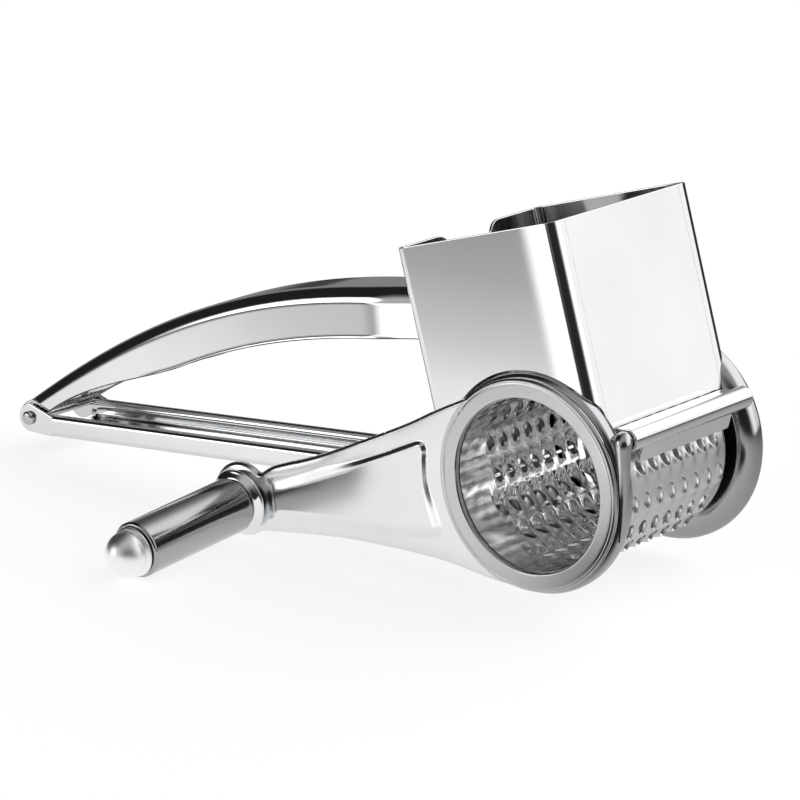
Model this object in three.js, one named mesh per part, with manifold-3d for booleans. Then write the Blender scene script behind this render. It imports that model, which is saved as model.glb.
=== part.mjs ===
// Rotary cheese grater: a leaning hopper on two rolled cheeks, a grating drum turned by a
// stamped crank, and a press handle hinged at the tail of the lower handle.
// Units are millimetres, +Z is up, +X is the front and -Y is the crank's side.
// Everything is drawn about the drum's axis and moved to the row origin at the very end.

import * as THREE from 'three';
import { mergeVertices } from 'three/addons/utils/BufferGeometryUtils.js';
import Module from 'manifold-3d';

const wasm = await Module();
wasm.setup();

// ---- driving dimensions ---------------------------------------------------------------

const SHEET = 0.8; // thickness of the stamped sheet
const FIT = 0.3; // gap left between pieces that are joined
const RUN = 0.06; // radial running clearance of a turning shaft

const DRUM_R = 20.9; // outer radius of the grating drum
const DRUM_WALL = 0.6;
const DRUM_FRONT = -28.4; // y of the drum's open end
const DRUM_BACK = 19; // y of the drum's closed end
const TOOTH_ROWS = 16;
const TOOTH_COLUMNS = 8;
const TOOTH_PITCH = 4.75;
const TOOTH_MIDDLE = -0.25; // y of the middle of the toothed band
const TOOTH_WIDTH = 2.7;
const TOOTH_ARC = 0.235; // radians of drum that one slot takes up
const COLLAR_R = 22.05;

const CHEEK_IN = 21.8; // |y| of a cheek's inner face
const RIM_R = 25.8; // outer radius of a cheek's rolled rim
const RIM_BEND = 4; // radius of the bend from plate to rim
const RIM_CURL = 1.8; // radius of the curl at the rim's free edge
const RIM_CURL_Y = 26.4;
const MOUTH_R = 22.4; // hole in the crank-side cheek

const LEAN = THREE.MathUtils.degToRad(16.27); // hopper leans towards the handles
const HOPPER_FRONT = 20.8;
const HOPPER_BACK = -26;
const HOPPER_HALF = 27;
const HOPPER_TOP = 57.8;
const HOPPER_CORNER = 2.2;
const NOTCH_HALF = 7.5;
const NOTCH_FLOOR = 27;
const NOTCH_ROUND = 4;

const BAR = new THREE.Vector2(23.8, 14); // x, z of the front bar's axis
const BAR_R = 2.65;
const BAR_NEAR = -24.2; // y of the bar's open end, by the crank
const BAR_FAR = 21.4;
const LIP = new THREE.Vector2(22.3, 7); // x, z of the scraper lip's lower edge
const LIP_HALF = 17.5;

const FOOT_SHEET = 1;
const SADDLE_R = 26; // outer radius of the guard behind the drum

const RING_IN = 20.4;
const RING_OUT = 24.9;
const CRANK_FACE = -29.9;
const CRANK_SHEET = 1.2;
const PANEL_RISE = 0.8; // height of the panel pressed out of the crank arm
const ARM_END = new THREE.Vector2(-86.4, -20.3);
const ARM_END_R = 9.1;
const KNOB_TILT = 0.08; // slope of the knob's axis, falling outwards
const KNOB_R = 6.8;
const KNOB_START = 3.6;
const KNOB_LENGTH = 34.6;
const AXLE_R = 2.6;
const DOME_R = 5.5;

const PIN = new THREE.Vector2(-175.5, -20.8); // x, z of the tail hinge
const PIN_R = 1.5;
const KNUCKLE_R = 4.3; // rounded tail of the upper handle
const EAR_R = 3.8; // rounded tail of the lower handle
const LOWER_HALF = 10.8;
const LOWER_DEPTH = 5.7;
const LOWER_TAIL = new THREE.Vector2(-171.5, -25); // x, z of the web's underside
const LOWER_FRONT = new THREE.Vector2(-22, -12.2);
const UPPER_HALF = 9.3;
const UPPER_NECK_HALF = 6.3;
const UPPER_DEPTH = 12.2;
const HANDLE_SHEET = 0.9;

const TRAY_HALF = 20.8;
const TRAY_BACK = -21.4;
const TRAY_FRONT = 17;
const TRAY_FLOOR = 22.8;
const TRAY_RISE = 5;
const STEM_TOP = 31.6;

const SPINDLE_R = 2.5;

// ---- helpers ----------------------------------------------------------------------------

function toSolid(geometry) {
  const bare = new THREE.BufferGeometry();
  bare.setAttribute('position', geometry.getAttribute('position').clone());
  if (geometry.index) {
    bare.setIndex(geometry.index.clone());
  }
  const merged = mergeVertices(bare, 1e-4);
  const index = merged.index.array;
  const kept = [];
  for (let i = 0; i < index.length; i += 3) {
    const [a, b, c] = [index[i], index[i + 1], index[i + 2]];
    if (a !== b && b !== c && c !== a) {
      kept.push(a, b, c);
    }
  }
  const positions = new Float32Array(merged.getAttribute('position').array);
  if (signedVolume(positions, kept) < 0) {
    kept.reverse();
  }
  return new wasm.Manifold(new wasm.Mesh({
    numProp: 3,
    vertProperties: positions,
    triVerts: new Uint32Array(kept),
  }));
}

function signedVolume(positions, index) {
  const corner = (i) => new THREE.Vector3().fromArray(positions, 3 * index[i]);
  let sum = 0;
  for (let i = 0; i < index.length; i += 3) {
    sum += corner(i).dot(corner(i + 1).cross(corner(i + 2)));
  }
  return sum / 6;
}

function outlineToShape(outline) {
  return new THREE.Shape(outline.map(([x, z]) => new THREE.Vector2(x, z)));
}

// Prism of an x-z outline between two values of y.
function prism(outline, y0, y1, holes = []) {
  const shape = outlineToShape(outline);
  shape.holes = holes.map(outlineToShape);
  const geometry = new THREE.ExtrudeGeometry(shape, { depth: y1 - y0, bevelEnabled: false });
  geometry.rotateX(Math.PI / 2);
  geometry.translate(0, y1, 0);
  return toSolid(geometry);
}

// Closed [radius, y] loop turned about the drum's axis, then moved to (x, z).
function turned(loop, segments, x = 0, z = 0) {
  const points = [...loop, loop[0]].map(([r, y]) => new THREE.Vector2(r, y));
  const geometry = new THREE.LatheGeometry(points, segments);
  geometry.translate(x, 0, z);
  return toSolid(geometry);
}

function ring(inner, outer, y0, y1, segments, x = 0, z = 0) {
  return turned([[inner, y0], [outer, y0], [outer, y1], [inner, y1]], segments, x, z);
}

function disc(radius, y0, y1, segments, x = 0, z = 0) {
  return turned([[0, y0], [radius, y0], [radius, y1], [0, y1]], segments, x, z);
}

// Points of an arc, angles in radians, both ends included.
function arc(cx, cz, radius, from, to, steps) {
  return Array.from({ length: steps + 1 }, (_, i) => {
    const angle = from + ((to - from) * i) / steps;
    return [cx + radius * Math.cos(angle), cz + radius * Math.sin(angle)];
  });
}

// Sweeps closed [y, height] loops of equal length along x-z stations.
function sweep(stations) {
  const count = stations[0].loop.length;
  const positions = [];
  stations.forEach(({ at, normal, loop }) => {
    loop.forEach(([y, h]) => positions.push(at.x + normal.x * h, y, at.y + normal.y * h));
  });
  const index = [];
  for (let s = 0; s + 1 < stations.length; s += 1) {
    for (let i = 0; i < count; i += 1) {
      const a = s * count + i;
      const b = s * count + ((i + 1) % count);
      index.push(a, b, b + count, a, b + count, a + count);
    }
  }
  const flat = stations[0].loop.map(([y, h]) => new THREE.Vector2(y, h));
  const last = (stations.length - 1) * count;
  THREE.ShapeUtils.triangulateShape(flat, []).forEach(([a, b, c]) => {
    index.push(c, b, a);
    index.push(last + a, last + b, last + c);
  });
  const geometry = new THREE.BufferGeometry();
  geometry.setAttribute('position', new THREE.Float32BufferAttribute(positions, 3));
  geometry.setIndex(index);
  return toSolid(geometry);
}

// U-shaped sheet section: crown at height 0, free edges at -depth.
function channelLoop(half, depth, sheet, corner) {
  const outer = [
    [half, -depth],
    ...arc(half - corner, -corner, corner, 0, Math.PI / 2, 5),
    ...arc(corner - half, -corner, corner, Math.PI / 2, Math.PI, 5),
    [-half, -depth],
  ];
  const inside = corner - sheet;
  const inner = [
    [sheet - half, -depth],
    ...arc(corner - half, -corner, inside, Math.PI, Math.PI / 2, 5),
    ...arc(half - corner, -corner, inside, Math.PI / 2, 0, 5),
    [half - sheet, -depth],
  ];
  return [...outer, ...inner];
}

// Turns a solid that was drawn upright in the hopper's own frame to the hopper's lean.
function leaned(solid) {
  return solid.rotate([0, -THREE.MathUtils.radToDeg(LEAN), 0]);
}

function box(x0, x1, y0, y1, z0, z1) {
  return prism([[x0, z0], [x1, z0], [x1, z1], [x0, z1]], y0, y1);
}

function hopperPoint(x, z) {
  return new THREE.Vector2(
    Math.cos(LEAN) * x - Math.sin(LEAN) * z,
    Math.sin(LEAN) * x + Math.cos(LEAN) * z,
  );
}

// ---- frame body -------------------------------------------------------------------------

function roundedPlan(x0, x1, half, corner) {
  return [
    ...arc(x1 - corner, half - corner, corner, 0, Math.PI / 2, 5),
    ...arc(x0 + corner, half - corner, corner, Math.PI / 2, Math.PI, 5),
    ...arc(x0 + corner, corner - half, corner, Math.PI, 1.5 * Math.PI, 5),
    ...arc(x1 - corner, corner - half, corner, 1.5 * Math.PI, 2 * Math.PI, 5),
  ];
}

function upright(plan, z0, z1) {
  const shape = new THREE.Shape(plan.map(([x, y]) => new THREE.Vector2(x, y)));
  const geometry = new THREE.ExtrudeGeometry(shape, { depth: z1 - z0, bevelEnabled: false });
  geometry.translate(0, 0, z0);
  return toSolid(geometry);
}

function notchCutter() {
  const plan = [
    [-NOTCH_HALF - NOTCH_ROUND, HOPPER_TOP + 1],
    ...arc(-NOTCH_HALF - NOTCH_ROUND, HOPPER_TOP - NOTCH_ROUND, NOTCH_ROUND, Math.PI / 2, 0, 5),
    ...arc(-NOTCH_HALF + 2, NOTCH_FLOOR + 2, 2, Math.PI, 1.5 * Math.PI, 3),
    ...arc(NOTCH_HALF - 2, NOTCH_FLOOR + 2, 2, 1.5 * Math.PI, 2 * Math.PI, 3),
    ...arc(NOTCH_HALF + NOTCH_ROUND, HOPPER_TOP - NOTCH_ROUND, NOTCH_ROUND, Math.PI, Math.PI / 2, 5),
    [NOTCH_HALF + NOTCH_ROUND, HOPPER_TOP + 1],
  ];
  const shape = new THREE.Shape(plan.map(([y, z]) => new THREE.Vector2(y, z)));
  const geometry = new THREE.ExtrudeGeometry(shape, { depth: 6, bevelEnabled: false });
  geometry.rotateX(Math.PI / 2);
  geometry.rotateZ(Math.PI / 2);
  geometry.translate(HOPPER_BACK - 3, 0, 0);
  return toSolid(geometry);
}

function makeHopper() {
  const outer = roundedPlan(HOPPER_BACK, HOPPER_FRONT, HOPPER_HALF, HOPPER_CORNER);
  const inner = roundedPlan(
    HOPPER_BACK + SHEET,
    HOPPER_FRONT - SHEET,
    HOPPER_HALF - SHEET,
    HOPPER_CORNER - SHEET,
  );
  const middle = CHEEK_IN - 0.4;
  const shell = upright(outer, 0.4, HOPPER_TOP)
    .subtract(upright(inner, -1, HOPPER_TOP + 1))
    .subtract(notchCutter())
    .subtract(box(-30, 30, middle, 30, -1, 7))
    .subtract(box(-30, 30, -30, -middle, -1, 7));
  return leaned(shell)
    .subtract(disc(COLLAR_R + 0.4, -middle, middle, 64))
    .subtract(disc(RIM_R + FIT, -30, -middle, 64))
    .subtract(disc(RIM_R + FIT, middle, 30, 64));
}

// Half section of a rolled rim as [radius, distance outwards].
function rimLoop(start) {
  const bendR = RIM_R - RIM_BEND;
  const bendY = CHEEK_IN + RIM_BEND;
  const curlR = RIM_R - RIM_CURL;
  const first = Math.asin(Math.max(0, start - bendR) / RIM_BEND) - Math.PI / 2;
  const curlEnd = THREE.MathUtils.degToRad(75);
  const lead = start < bendR ? [[start, CHEEK_IN]] : [];
  const tail = start < bendR ? [[start, CHEEK_IN + SHEET]] : [];
  return [
    ...lead,
    ...arc(bendR, bendY, RIM_BEND, first, 0, 4),
    ...arc(curlR, RIM_CURL_Y, RIM_CURL, 0, curlEnd, 3),
    ...arc(curlR, RIM_CURL_Y, RIM_CURL - SHEET, curlEnd, 0, 3),
    ...arc(bendR, bendY, RIM_BEND - SHEET, 0, first, 4),
    ...tail,
  ];
}

// Hooked lobe of the crank-side cheek, in front of the bar's open end.
function makeEar() {
  const inner = BAR_NEAR - FIT;
  return turned([
    [0, inner],
    [BAR_R, inner],
    ...arc(BAR_R - 1.2, inner - 1, 1.2, 0, -Math.PI / 2, 4),
    [0, inner - 2.2],
  ], 24, BAR.x, BAR.y);
}

function makeCheek(side, holeR) {
  const outward = ([r, y]) => [r, side * y];
  return turned(rimLoop(holeR).map(outward), 48);
}

// Cuts back what would run into the rolled rims.
function clearOfRims(solid) {
  const start = CHEEK_IN - FIT;
  return solid
    .subtract(disc(RIM_R + FIT, start, 30, 64))
    .subtract(disc(RIM_R + FIT, -30, -start, 64));
}

function makeFrontBar() {
  const tube = ring(BAR_R - SHEET, BAR_R, BAR_NEAR, BAR_FAR, 24, BAR.x, BAR.y);
  const down = new THREE.Vector2(LIP.x - BAR.x, LIP.y - (BAR.y - BAR_R)).normalize();
  const across = new THREE.Vector2(-down.y, down.x).multiplyScalar(SHEET);
  const top = new THREE.Vector2(BAR.x, BAR.y - BAR_R + 0.3);
  const lip = prism([
    [top.x, top.y],
    [LIP.x, LIP.y],
    [LIP.x + across.x, LIP.y + across.y],
    [top.x + across.x, top.y + across.y],
  ], -LIP_HALF, LIP_HALF);
  return clearOfRims(tube).add(lip);
}

function makeThroatWeb() {
  const wall = hopperPoint(HOPPER_FRONT, 10);
  const z = wall.y - 0.5;
  const half = CHEEK_IN - 0.8;
  const x0 = wall.x + FIT + 0.15;
  const x1 = BAR.x - BAR_R - FIT;
  return box(x0, x1, -half, half, z, z + SHEET);
}

function makeSaddle() {
  const from = Math.PI + LEAN + 0.01;
  const to = from + 0.95;
  const half = CHEEK_IN - 0.4;
  return prism([
    ...arc(0, 0, SADDLE_R, from, to, 14),
    ...arc(0, 0, SADDLE_R - SHEET, to, from, 14),
  ], -half, half);
}

function makeHandleFoot() {
  const inner = SADDLE_R + FIT;
  const middle = Math.PI + 0.5;
  return prism([
    ...arc(0, 0, inner + FOOT_SHEET, middle - 0.19, middle + 0.36, 8),
    ...arc(0, 0, inner, middle + 0.36, middle - 0.19, 8),
  ], -LOWER_HALF, LOWER_HALF);
}

function makeFootRivet(y) {
  const angle = THREE.MathUtils.degToRad(180 + 43);
  const seat = SADDLE_R + FIT + FOOT_SHEET + 0.1;
  const rivet = turned([[0, 0], [2, 0], [1.7, 0.7], [0.9, 1.1], [0, 1.2]], 16);
  return rivet
    .rotate([0, 0, 90])
    .rotate([0, -THREE.MathUtils.radToDeg(angle) + 180, 0])
    .translate([seat * Math.cos(angle), y, seat * Math.sin(angle)]);
}

function lowerStation(t, depth) {
  const along = new THREE.Vector2().subVectors(LOWER_FRONT, LOWER_TAIL).normalize();
  const down = new THREE.Vector2(along.y, -along.x);
  const web = new THREE.Vector2().lerpVectors(LOWER_TAIL, LOWER_FRONT, t);
  return { at: web, normal: down, loop: channelLoop(LOWER_HALF, depth, HANDLE_SHEET, 1.6) };
}

function makeLowerHandle() {
  const channel = sweep([0, 0.5, 1].map((t) => lowerStation(t, LOWER_DEPTH)));
  const inner = LOWER_HALF - HANDLE_SHEET;
  const ear = [
    ...arc(PIN.x, PIN.y, EAR_R, Math.PI / 2, 1.5 * Math.PI, 14),
    [LOWER_TAIL.x + 4, LOWER_TAIL.y + 0.5],
    [LOWER_TAIL.x + 4, LOWER_TAIL.y + LOWER_DEPTH],
  ];
  const ears = prism(ear, inner, LOWER_HALF).add(prism(ear, -LOWER_HALF, -inner));
  const bore = disc(PIN_R + 0.05, -12, 12, 24, PIN.x, PIN.y);
  const footSpace = disc(SADDLE_R + FOOT_SHEET + 2 * FIT, -12, 12, 96);
  return channel.add(ears).subtract(bore).subtract(footSpace);
}

function makeHingePin() {
  return disc(PIN_R, -LOWER_HALF - 0.4, LOWER_HALF + 0.4, 24, PIN.x, PIN.y);
}

function makePinHead(side) {
  const y = LOWER_HALF + 0.6;
  const loop = [[0, y], [2.6, y], [2.3, y + 0.7], [1.2, y + 1.2], [0, y + 1.3]];
  return turned(loop.map(([r, h]) => [r, side * h]), 20, PIN.x, PIN.y);
}

function makeBearingRing() {
  const y = CHEEK_IN + SHEET + FIT;
  return ring(SPINDLE_R + RUN, 5.6, y, y + 1.6, 24);
}

// ---- press handle body ------------------------------------------------------------------

function upperPath() {
  return new THREE.CatmullRomCurve3([
    [-179.6, -17.8],
    [-151.2, 0.9],
    [-122, 15.7],
    [-94.3, 25.4],
    [-67.7, 30.9],
    [-40, 34],
    [-4, 35.8],
  ].map(([x, z]) => new THREE.Vector3(x, 0, z)));
}

function upperStation(path, t) {
  const at = path.getPoint(t);
  const tangent = path.getTangent(t);
  const neck = THREE.MathUtils.smoothstep(at.x, -66, -46);
  const half = THREE.MathUtils.lerp(UPPER_HALF, UPPER_NECK_HALF, neck);
  const tail = THREE.MathUtils.smoothstep(at.x, -172, -128);
  const depth = THREE.MathUtils.lerp(6.2, UPPER_DEPTH, tail);
  return {
    at: new THREE.Vector2(at.x, at.z),
    normal: new THREE.Vector2(-tangent.z, tangent.x),
    loop: channelLoop(half, depth, HANDLE_SHEET, 4),
  };
}

function makeUpperHandle() {
  const path = upperPath();
  const stations = Array.from({ length: 23 }, (_, i) => upperStation(path, i / 22));
  const inner = UPPER_HALF - HANDLE_SHEET;
  const knuckles = disc(KNUCKLE_R, inner, UPPER_HALF, 28, PIN.x, PIN.y)
    .add(disc(KNUCKLE_R, -UPPER_HALF, -inner, 28, PIN.x, PIN.y));
  const bore = disc(PIN_R + RUN, -12, 12, 24, PIN.x, PIN.y);
  return sweep(stations).add(knuckles).subtract(bore);
}

function makePresserTray() {
  return leaned(upright(
    roundedPlan(TRAY_BACK, TRAY_FRONT, TRAY_HALF, 3),
    TRAY_FLOOR,
    TRAY_FLOOR + TRAY_RISE,
  ).subtract(upright(
    roundedPlan(TRAY_BACK + SHEET, TRAY_FRONT - SHEET, TRAY_HALF - SHEET, 3 - SHEET),
    TRAY_FLOOR + SHEET,
    TRAY_FLOOR + TRAY_RISE + 1,
  )));
}

// Saddle-shaped stem that carries the tray under the end of the press handle.
function makePresserStem() {
  const half = UPPER_NECK_HALF - HANDLE_SHEET - FIT;
  const low = TRAY_FLOOR + SHEET + FIT;
  const foot = box(-10, 8, -half, half, low, low + 1.2);
  const legs = box(-7, 5, -half, 1.2 - half, low, STEM_TOP)
    .add(box(-7, 5, half - 1.2, half, low, STEM_TOP));
  return leaned(foot.add(legs));
}

function makeStemRivet(side) {
  const at = hopperPoint(-1, STEM_TOP - 2.8);
  const y = UPPER_NECK_HALF + 0.1;
  const loop = [[0, y], [1.7, y], [1.4, y + 0.5], [0.7, y + 0.8], [0, y + 0.85]];
  return turned(loop.map(([r, h]) => [r, side * h]), 16, at.x, at.y);
}

function makeTrayRivet(x) {
  const low = TRAY_FLOOR + SHEET + FIT + 1.4;
  const loop = [[0, low], [1.7, low], [1.4, low + 0.5], [0.7, low + 0.8], [0, low + 0.85]];
  const rivet = turned(loop, 16).rotate([90, 0, 0]).translate([x, 0, 0]);
  return leaned(rivet);
}

// ---- crank body -------------------------------------------------------------------------

function toothCutters() {
  const cutters = [];
  const step = (2 * Math.PI) / TOOTH_ROWS;
  for (let row = 0; row < TOOTH_ROWS; row += 1) {
    const odd = row % 2;
    for (let column = 0; column < TOOTH_COLUMNS - odd; column += 1) {
      const y = TOOTH_MIDDLE + (column - (TOOTH_COLUMNS - 1 - odd) / 2) * TOOTH_PITCH;
      const angle = (row + 0.5) * step;
      const length = DRUM_R * TOOTH_ARC;
      const slot = box(DRUM_R - 3, DRUM_R + 3, y - TOOTH_WIDTH / 2, y + TOOTH_WIDTH / 2,
        -length / 2, length / 2);
      cutters.push(slot.rotate([0, THREE.MathUtils.radToDeg(angle), 0]));
    }
  }
  return cutters;
}

function makeDrum() {
  const tube = ring(DRUM_R - DRUM_WALL, DRUM_R, DRUM_FRONT, DRUM_BACK - 1, 48);
  return toothCutters().reduce((drum, cutter) => drum.subtract(cutter), tube);
}

function makeDrumCollar() {
  const inner = DRUM_R + 0.1;
  return ring(inner, COLLAR_R, DRUM_FRONT, -CHEEK_IN + 0.6, 48);
}

function makeDrumCap() {
  const y = DRUM_BACK;
  return turned([
    [SPINDLE_R + 0.05, y - 0.7],
    [6, y - 0.7],
    [7.5, y - 0.9],
    [DRUM_R, y - 0.9],
    [DRUM_R, y],
    [SPINDLE_R + 0.05, y],
  ], 48);
}

function makeSpindle() {
  const head = DRUM_BACK - 1.2;
  return turned([
    [0, head - 2.2],
    [4.2, head - 2.2],
    [4.6, head - 1.6],
    [4.6, head],
    [SPINDLE_R, head],
    [SPINDLE_R, 26],
    [0, 26],
  ], 24);
}

function makeSpindleNut() {
  const y = 25;
  return turned([
    [SPINDLE_R + 0.1, y],
    [4.4, y],
    [4.4, y + 1.4],
    [3.2, y + 2.7],
    [0, y + 3.1],
    [0, y + 1.3],
    [SPINDLE_R + 0.1, y + 1.3],
  ], 24);
}

function armOutline() {
  const neck = new THREE.SplineCurve([
    new THREE.Vector2(-17.6, 17.6),
    new THREE.Vector2(-35.8, 7.9),
    new THREE.Vector2(-58.7, -3.1),
    new THREE.Vector2(-72.3, -8.7),
    new THREE.Vector2(-80.6, -12.9),
  ]).getPoints(16);
  const under = new THREE.SplineCurve([
    new THREE.Vector2(-80.4, -27.2),
    new THREE.Vector2(-72.2, -26),
    new THREE.Vector2(-52.6, -23.7),
    new THREE.Vector2(-31.7, -23),
    new THREE.Vector2(-16.2, -23.8),
    new THREE.Vector2(-4, -24.58),
  ]).getPoints(18);
  const start = Math.atan2(-12.9 - ARM_END.y, -80.6 - ARM_END.x);
  const stop = Math.atan2(-27.2 - ARM_END.y, -80.4 - ARM_END.x) + 2 * Math.PI;
  return [
    ...neck.map((p) => [p.x, p.y]),
    ...arc(ARM_END.x, ARM_END.y, ARM_END_R, start, stop, 20).slice(1, -1),
    ...under.map((p) => [p.x, p.y]),
    [0, 0],
  ];
}

function panelOutline() {
  return [
    [-75.4, -17.2],
    [-28.8, 6.2],
    ...arc(0, 0, 30.2, Math.PI - 0.1, Math.PI + 0.62, 6),
    [-44, -19.8],
    [-69, -20.4],
  ];
}

function makeCrankArm() {
  const back = CRANK_FACE + CRANK_SHEET;
  const arm = prism(armOutline(), CRANK_FACE, back).add(disc(RING_OUT, CRANK_FACE, back, 72));
  return arm
    .add(prism(panelOutline(), CRANK_FACE - PANEL_RISE, CRANK_FACE + 0.1))
    .subtract(disc(RING_IN, CRANK_FACE - 1, back + 1, 72))
    .subtract(disc(AXLE_R + 0.9, CRANK_FACE - 1, back + 1, 32, ARM_END.x, ARM_END.y));
}

// Turns a [radius, distance outwards] loop about the knob's tilted axis.
function onKnobAxis(loop, segments) {
  const tilt = THREE.MathUtils.radToDeg(Math.atan(KNOB_TILT));
  return turned(loop.map(([r, s]) => [r, -s]), segments)
    .rotate([tilt, 0, 0])
    .translate([ARM_END.x + 0.8, CRANK_FACE, ARM_END.y]);
}

function makeKnobCollar() {
  return onKnobAxis([
    [AXLE_R + 0.2, 0.9],
    [7.9, 0.9],
    [8.1, 1.5],
    [7.6, 2.4],
    [6.4, 3.2],
    [AXLE_R + 0.2, 3.2],
  ], 28);
}

function makeKnobAxle() {
  const end = KNOB_START + KNOB_LENGTH + 0.3;
  const dome = arc(0, end + 1.9, DOME_R, 0, Math.PI / 2, 5);
  return onKnobAxis([
    [0, -2.6],
    [AXLE_R + 1.4, -2.5],
    [AXLE_R + 1.4, -1.8],
    [AXLE_R, -1.8],
    [AXLE_R, end],
    [DOME_R + 0.5, end],
    [DOME_R + 0.5, end + 0.9],
    [DOME_R - 0.3, end + 1.2],
    ...dome,
  ], 24);
}

function makeKnobSleeve() {
  const a = KNOB_START;
  const b = KNOB_START + KNOB_LENGTH;
  return onKnobAxis([
    [AXLE_R + RUN, a],
    [KNOB_R - 0.5, a],
    [KNOB_R, a + 0.5],
    [KNOB_R, b - 0.6],
    [KNOB_R - 0.5, b],
    [AXLE_R + RUN, b],
  ], 32);
}

// ---- assembly ---------------------------------------------------------------------------

const LOOKS = {
  polished: { color: 0xd4d6d8, metalness: 1, roughness: 0.12 },
  satin: { color: 0xb9bbbd, metalness: 1, roughness: 0.35 },
  dark: { color: 0x6d6f72, metalness: 1, roughness: 0.2 },
};

const PIECES = [
  ['hopper', 'polished', makeHopper],
  ['cheek_crank_side', 'polished', () => makeCheek(-1, MOUTH_R).add(makeEar())],
  ['cheek_far_side', 'polished', () => makeCheek(1, SPINDLE_R + 0.5)],
  ['front_bar', 'polished', makeFrontBar],
  ['throat_web', 'polished', makeThroatWeb],
  ['rear_saddle', 'polished', makeSaddle],
  ['handle_foot', 'polished', makeHandleFoot],
  ['foot_rivet_crank_side', 'satin', () => makeFootRivet(-6.5)],
  ['foot_rivet_far_side', 'satin', () => makeFootRivet(6.5)],
  ['lower_handle', 'polished', makeLowerHandle],
  ['hinge_pin', 'satin', makeHingePin],
  ['pin_head_crank_side', 'satin', () => makePinHead(-1)],
  ['pin_head_far_side', 'satin', () => makePinHead(1)],
  ['bearing_ring', 'satin', makeBearingRing],
  ['upper_handle', 'polished', makeUpperHandle],
  ['presser_tray', 'polished', makePresserTray],
  ['presser_stem', 'polished', makePresserStem],
  ['stem_rivet_crank_side', 'satin', () => makeStemRivet(-1)],
  ['stem_rivet_far_side', 'satin', () => makeStemRivet(1)],
  ['tray_rivet', 'satin', () => makeTrayRivet(-1)],
  ['grating_drum', 'satin', makeDrum],
  ['drum_collar', 'polished', makeDrumCollar],
  ['drum_end_cap', 'satin', makeDrumCap],
  ['drum_spindle', 'satin', makeSpindle],
  ['spindle_nut', 'satin', makeSpindleNut],
  ['crank_arm', 'polished', makeCrankArm],
  ['knob_collar', 'polished', makeKnobCollar],
  ['knob_axle', 'satin', makeKnobAxle],
  ['knob_sleeve', 'dark', makeKnobSleeve],
];

function toMesh(name, look, solid, shift) {
  const { vertProperties, triVerts } = solid.translate(shift).getMesh();
  const geometry = new THREE.BufferGeometry();
  geometry.setAttribute('position', new THREE.BufferAttribute(vertProperties, 3));
  geometry.setIndex(new THREE.BufferAttribute(triVerts, 1));
  geometry.computeVertexNormals();
  const mesh = new THREE.Mesh(geometry, new THREE.MeshStandardMaterial(LOOKS[look]));
  mesh.name = name;
  return mesh;
}

// The row origin is the middle of the whole object's footprint, at its lowest point.
function originShift(solids) {
  const bounds = new THREE.Box3();
  solids.forEach((solid) => {
    const { min, max } = solid.boundingBox();
    bounds.expandByPoint(new THREE.Vector3(...min));
    bounds.expandByPoint(new THREE.Vector3(...max));
  });
  const middle = bounds.getCenter(new THREE.Vector3());
  return [-middle.x, -middle.y, -bounds.min.z];
}

const grater = new THREE.Group();
grater.name = 'rotary_cheese_grater';
const solids = PIECES.map(([, , make]) => make());
const shift = originShift(solids);
PIECES.forEach(([name, look], i) => grater.add(toMesh(name, look, solids[i], shift)));

export default grater;
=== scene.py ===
"""Visual model of a stainless steel rotary cheese grater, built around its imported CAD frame."""

import math

import bmesh
import bpy
import numpy as np
from mathutils import Matrix, Vector
from mathutils.geometry import delaunay_2d_cdt


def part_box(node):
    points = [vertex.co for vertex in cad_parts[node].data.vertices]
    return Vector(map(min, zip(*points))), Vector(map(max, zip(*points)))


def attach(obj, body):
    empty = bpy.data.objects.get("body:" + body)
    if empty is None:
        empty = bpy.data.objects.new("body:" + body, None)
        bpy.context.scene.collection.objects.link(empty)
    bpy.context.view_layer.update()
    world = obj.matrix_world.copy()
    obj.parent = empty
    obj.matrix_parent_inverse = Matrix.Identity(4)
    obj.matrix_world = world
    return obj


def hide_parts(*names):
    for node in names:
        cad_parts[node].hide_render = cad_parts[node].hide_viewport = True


bl_info = {
    "name": "Rotary cheese grater",
    "version": (1, 0, 0),
    "blender": (4, 5, 0),
    "location": "View3D > Sidebar > Grater",
    "description": "Builds the steel pieces of a rotary cheese grater around its CAD frame",
    "category": "Add Mesh",
}

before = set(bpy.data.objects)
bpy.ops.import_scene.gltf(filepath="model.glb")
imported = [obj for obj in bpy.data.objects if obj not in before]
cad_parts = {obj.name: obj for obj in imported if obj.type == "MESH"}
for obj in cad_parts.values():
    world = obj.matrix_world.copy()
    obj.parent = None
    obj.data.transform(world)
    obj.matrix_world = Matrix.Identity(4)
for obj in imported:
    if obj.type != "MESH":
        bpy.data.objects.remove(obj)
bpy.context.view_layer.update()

# Points are written in millimetres about the middle of the drum's axis: X to the front, -Y to the
# crank's side, Z up. AXIS is that middle in the row frame, worked out from the CAD nodes.
MM = 0.001
CRANK_FACE = -29.9
PANEL_RISE = 0.8
DRUM_LOW, DRUM_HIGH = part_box("grating_drum")
AXIS = Vector((
    (DRUM_LOW.x + DRUM_HIGH.x) / 2,
    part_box("crank_arm")[0].y - (CRANK_FACE - PANEL_RISE) * MM,
    (DRUM_LOW.z + DRUM_HIGH.z) / 2,
))
TURN = 2 * math.pi

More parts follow.
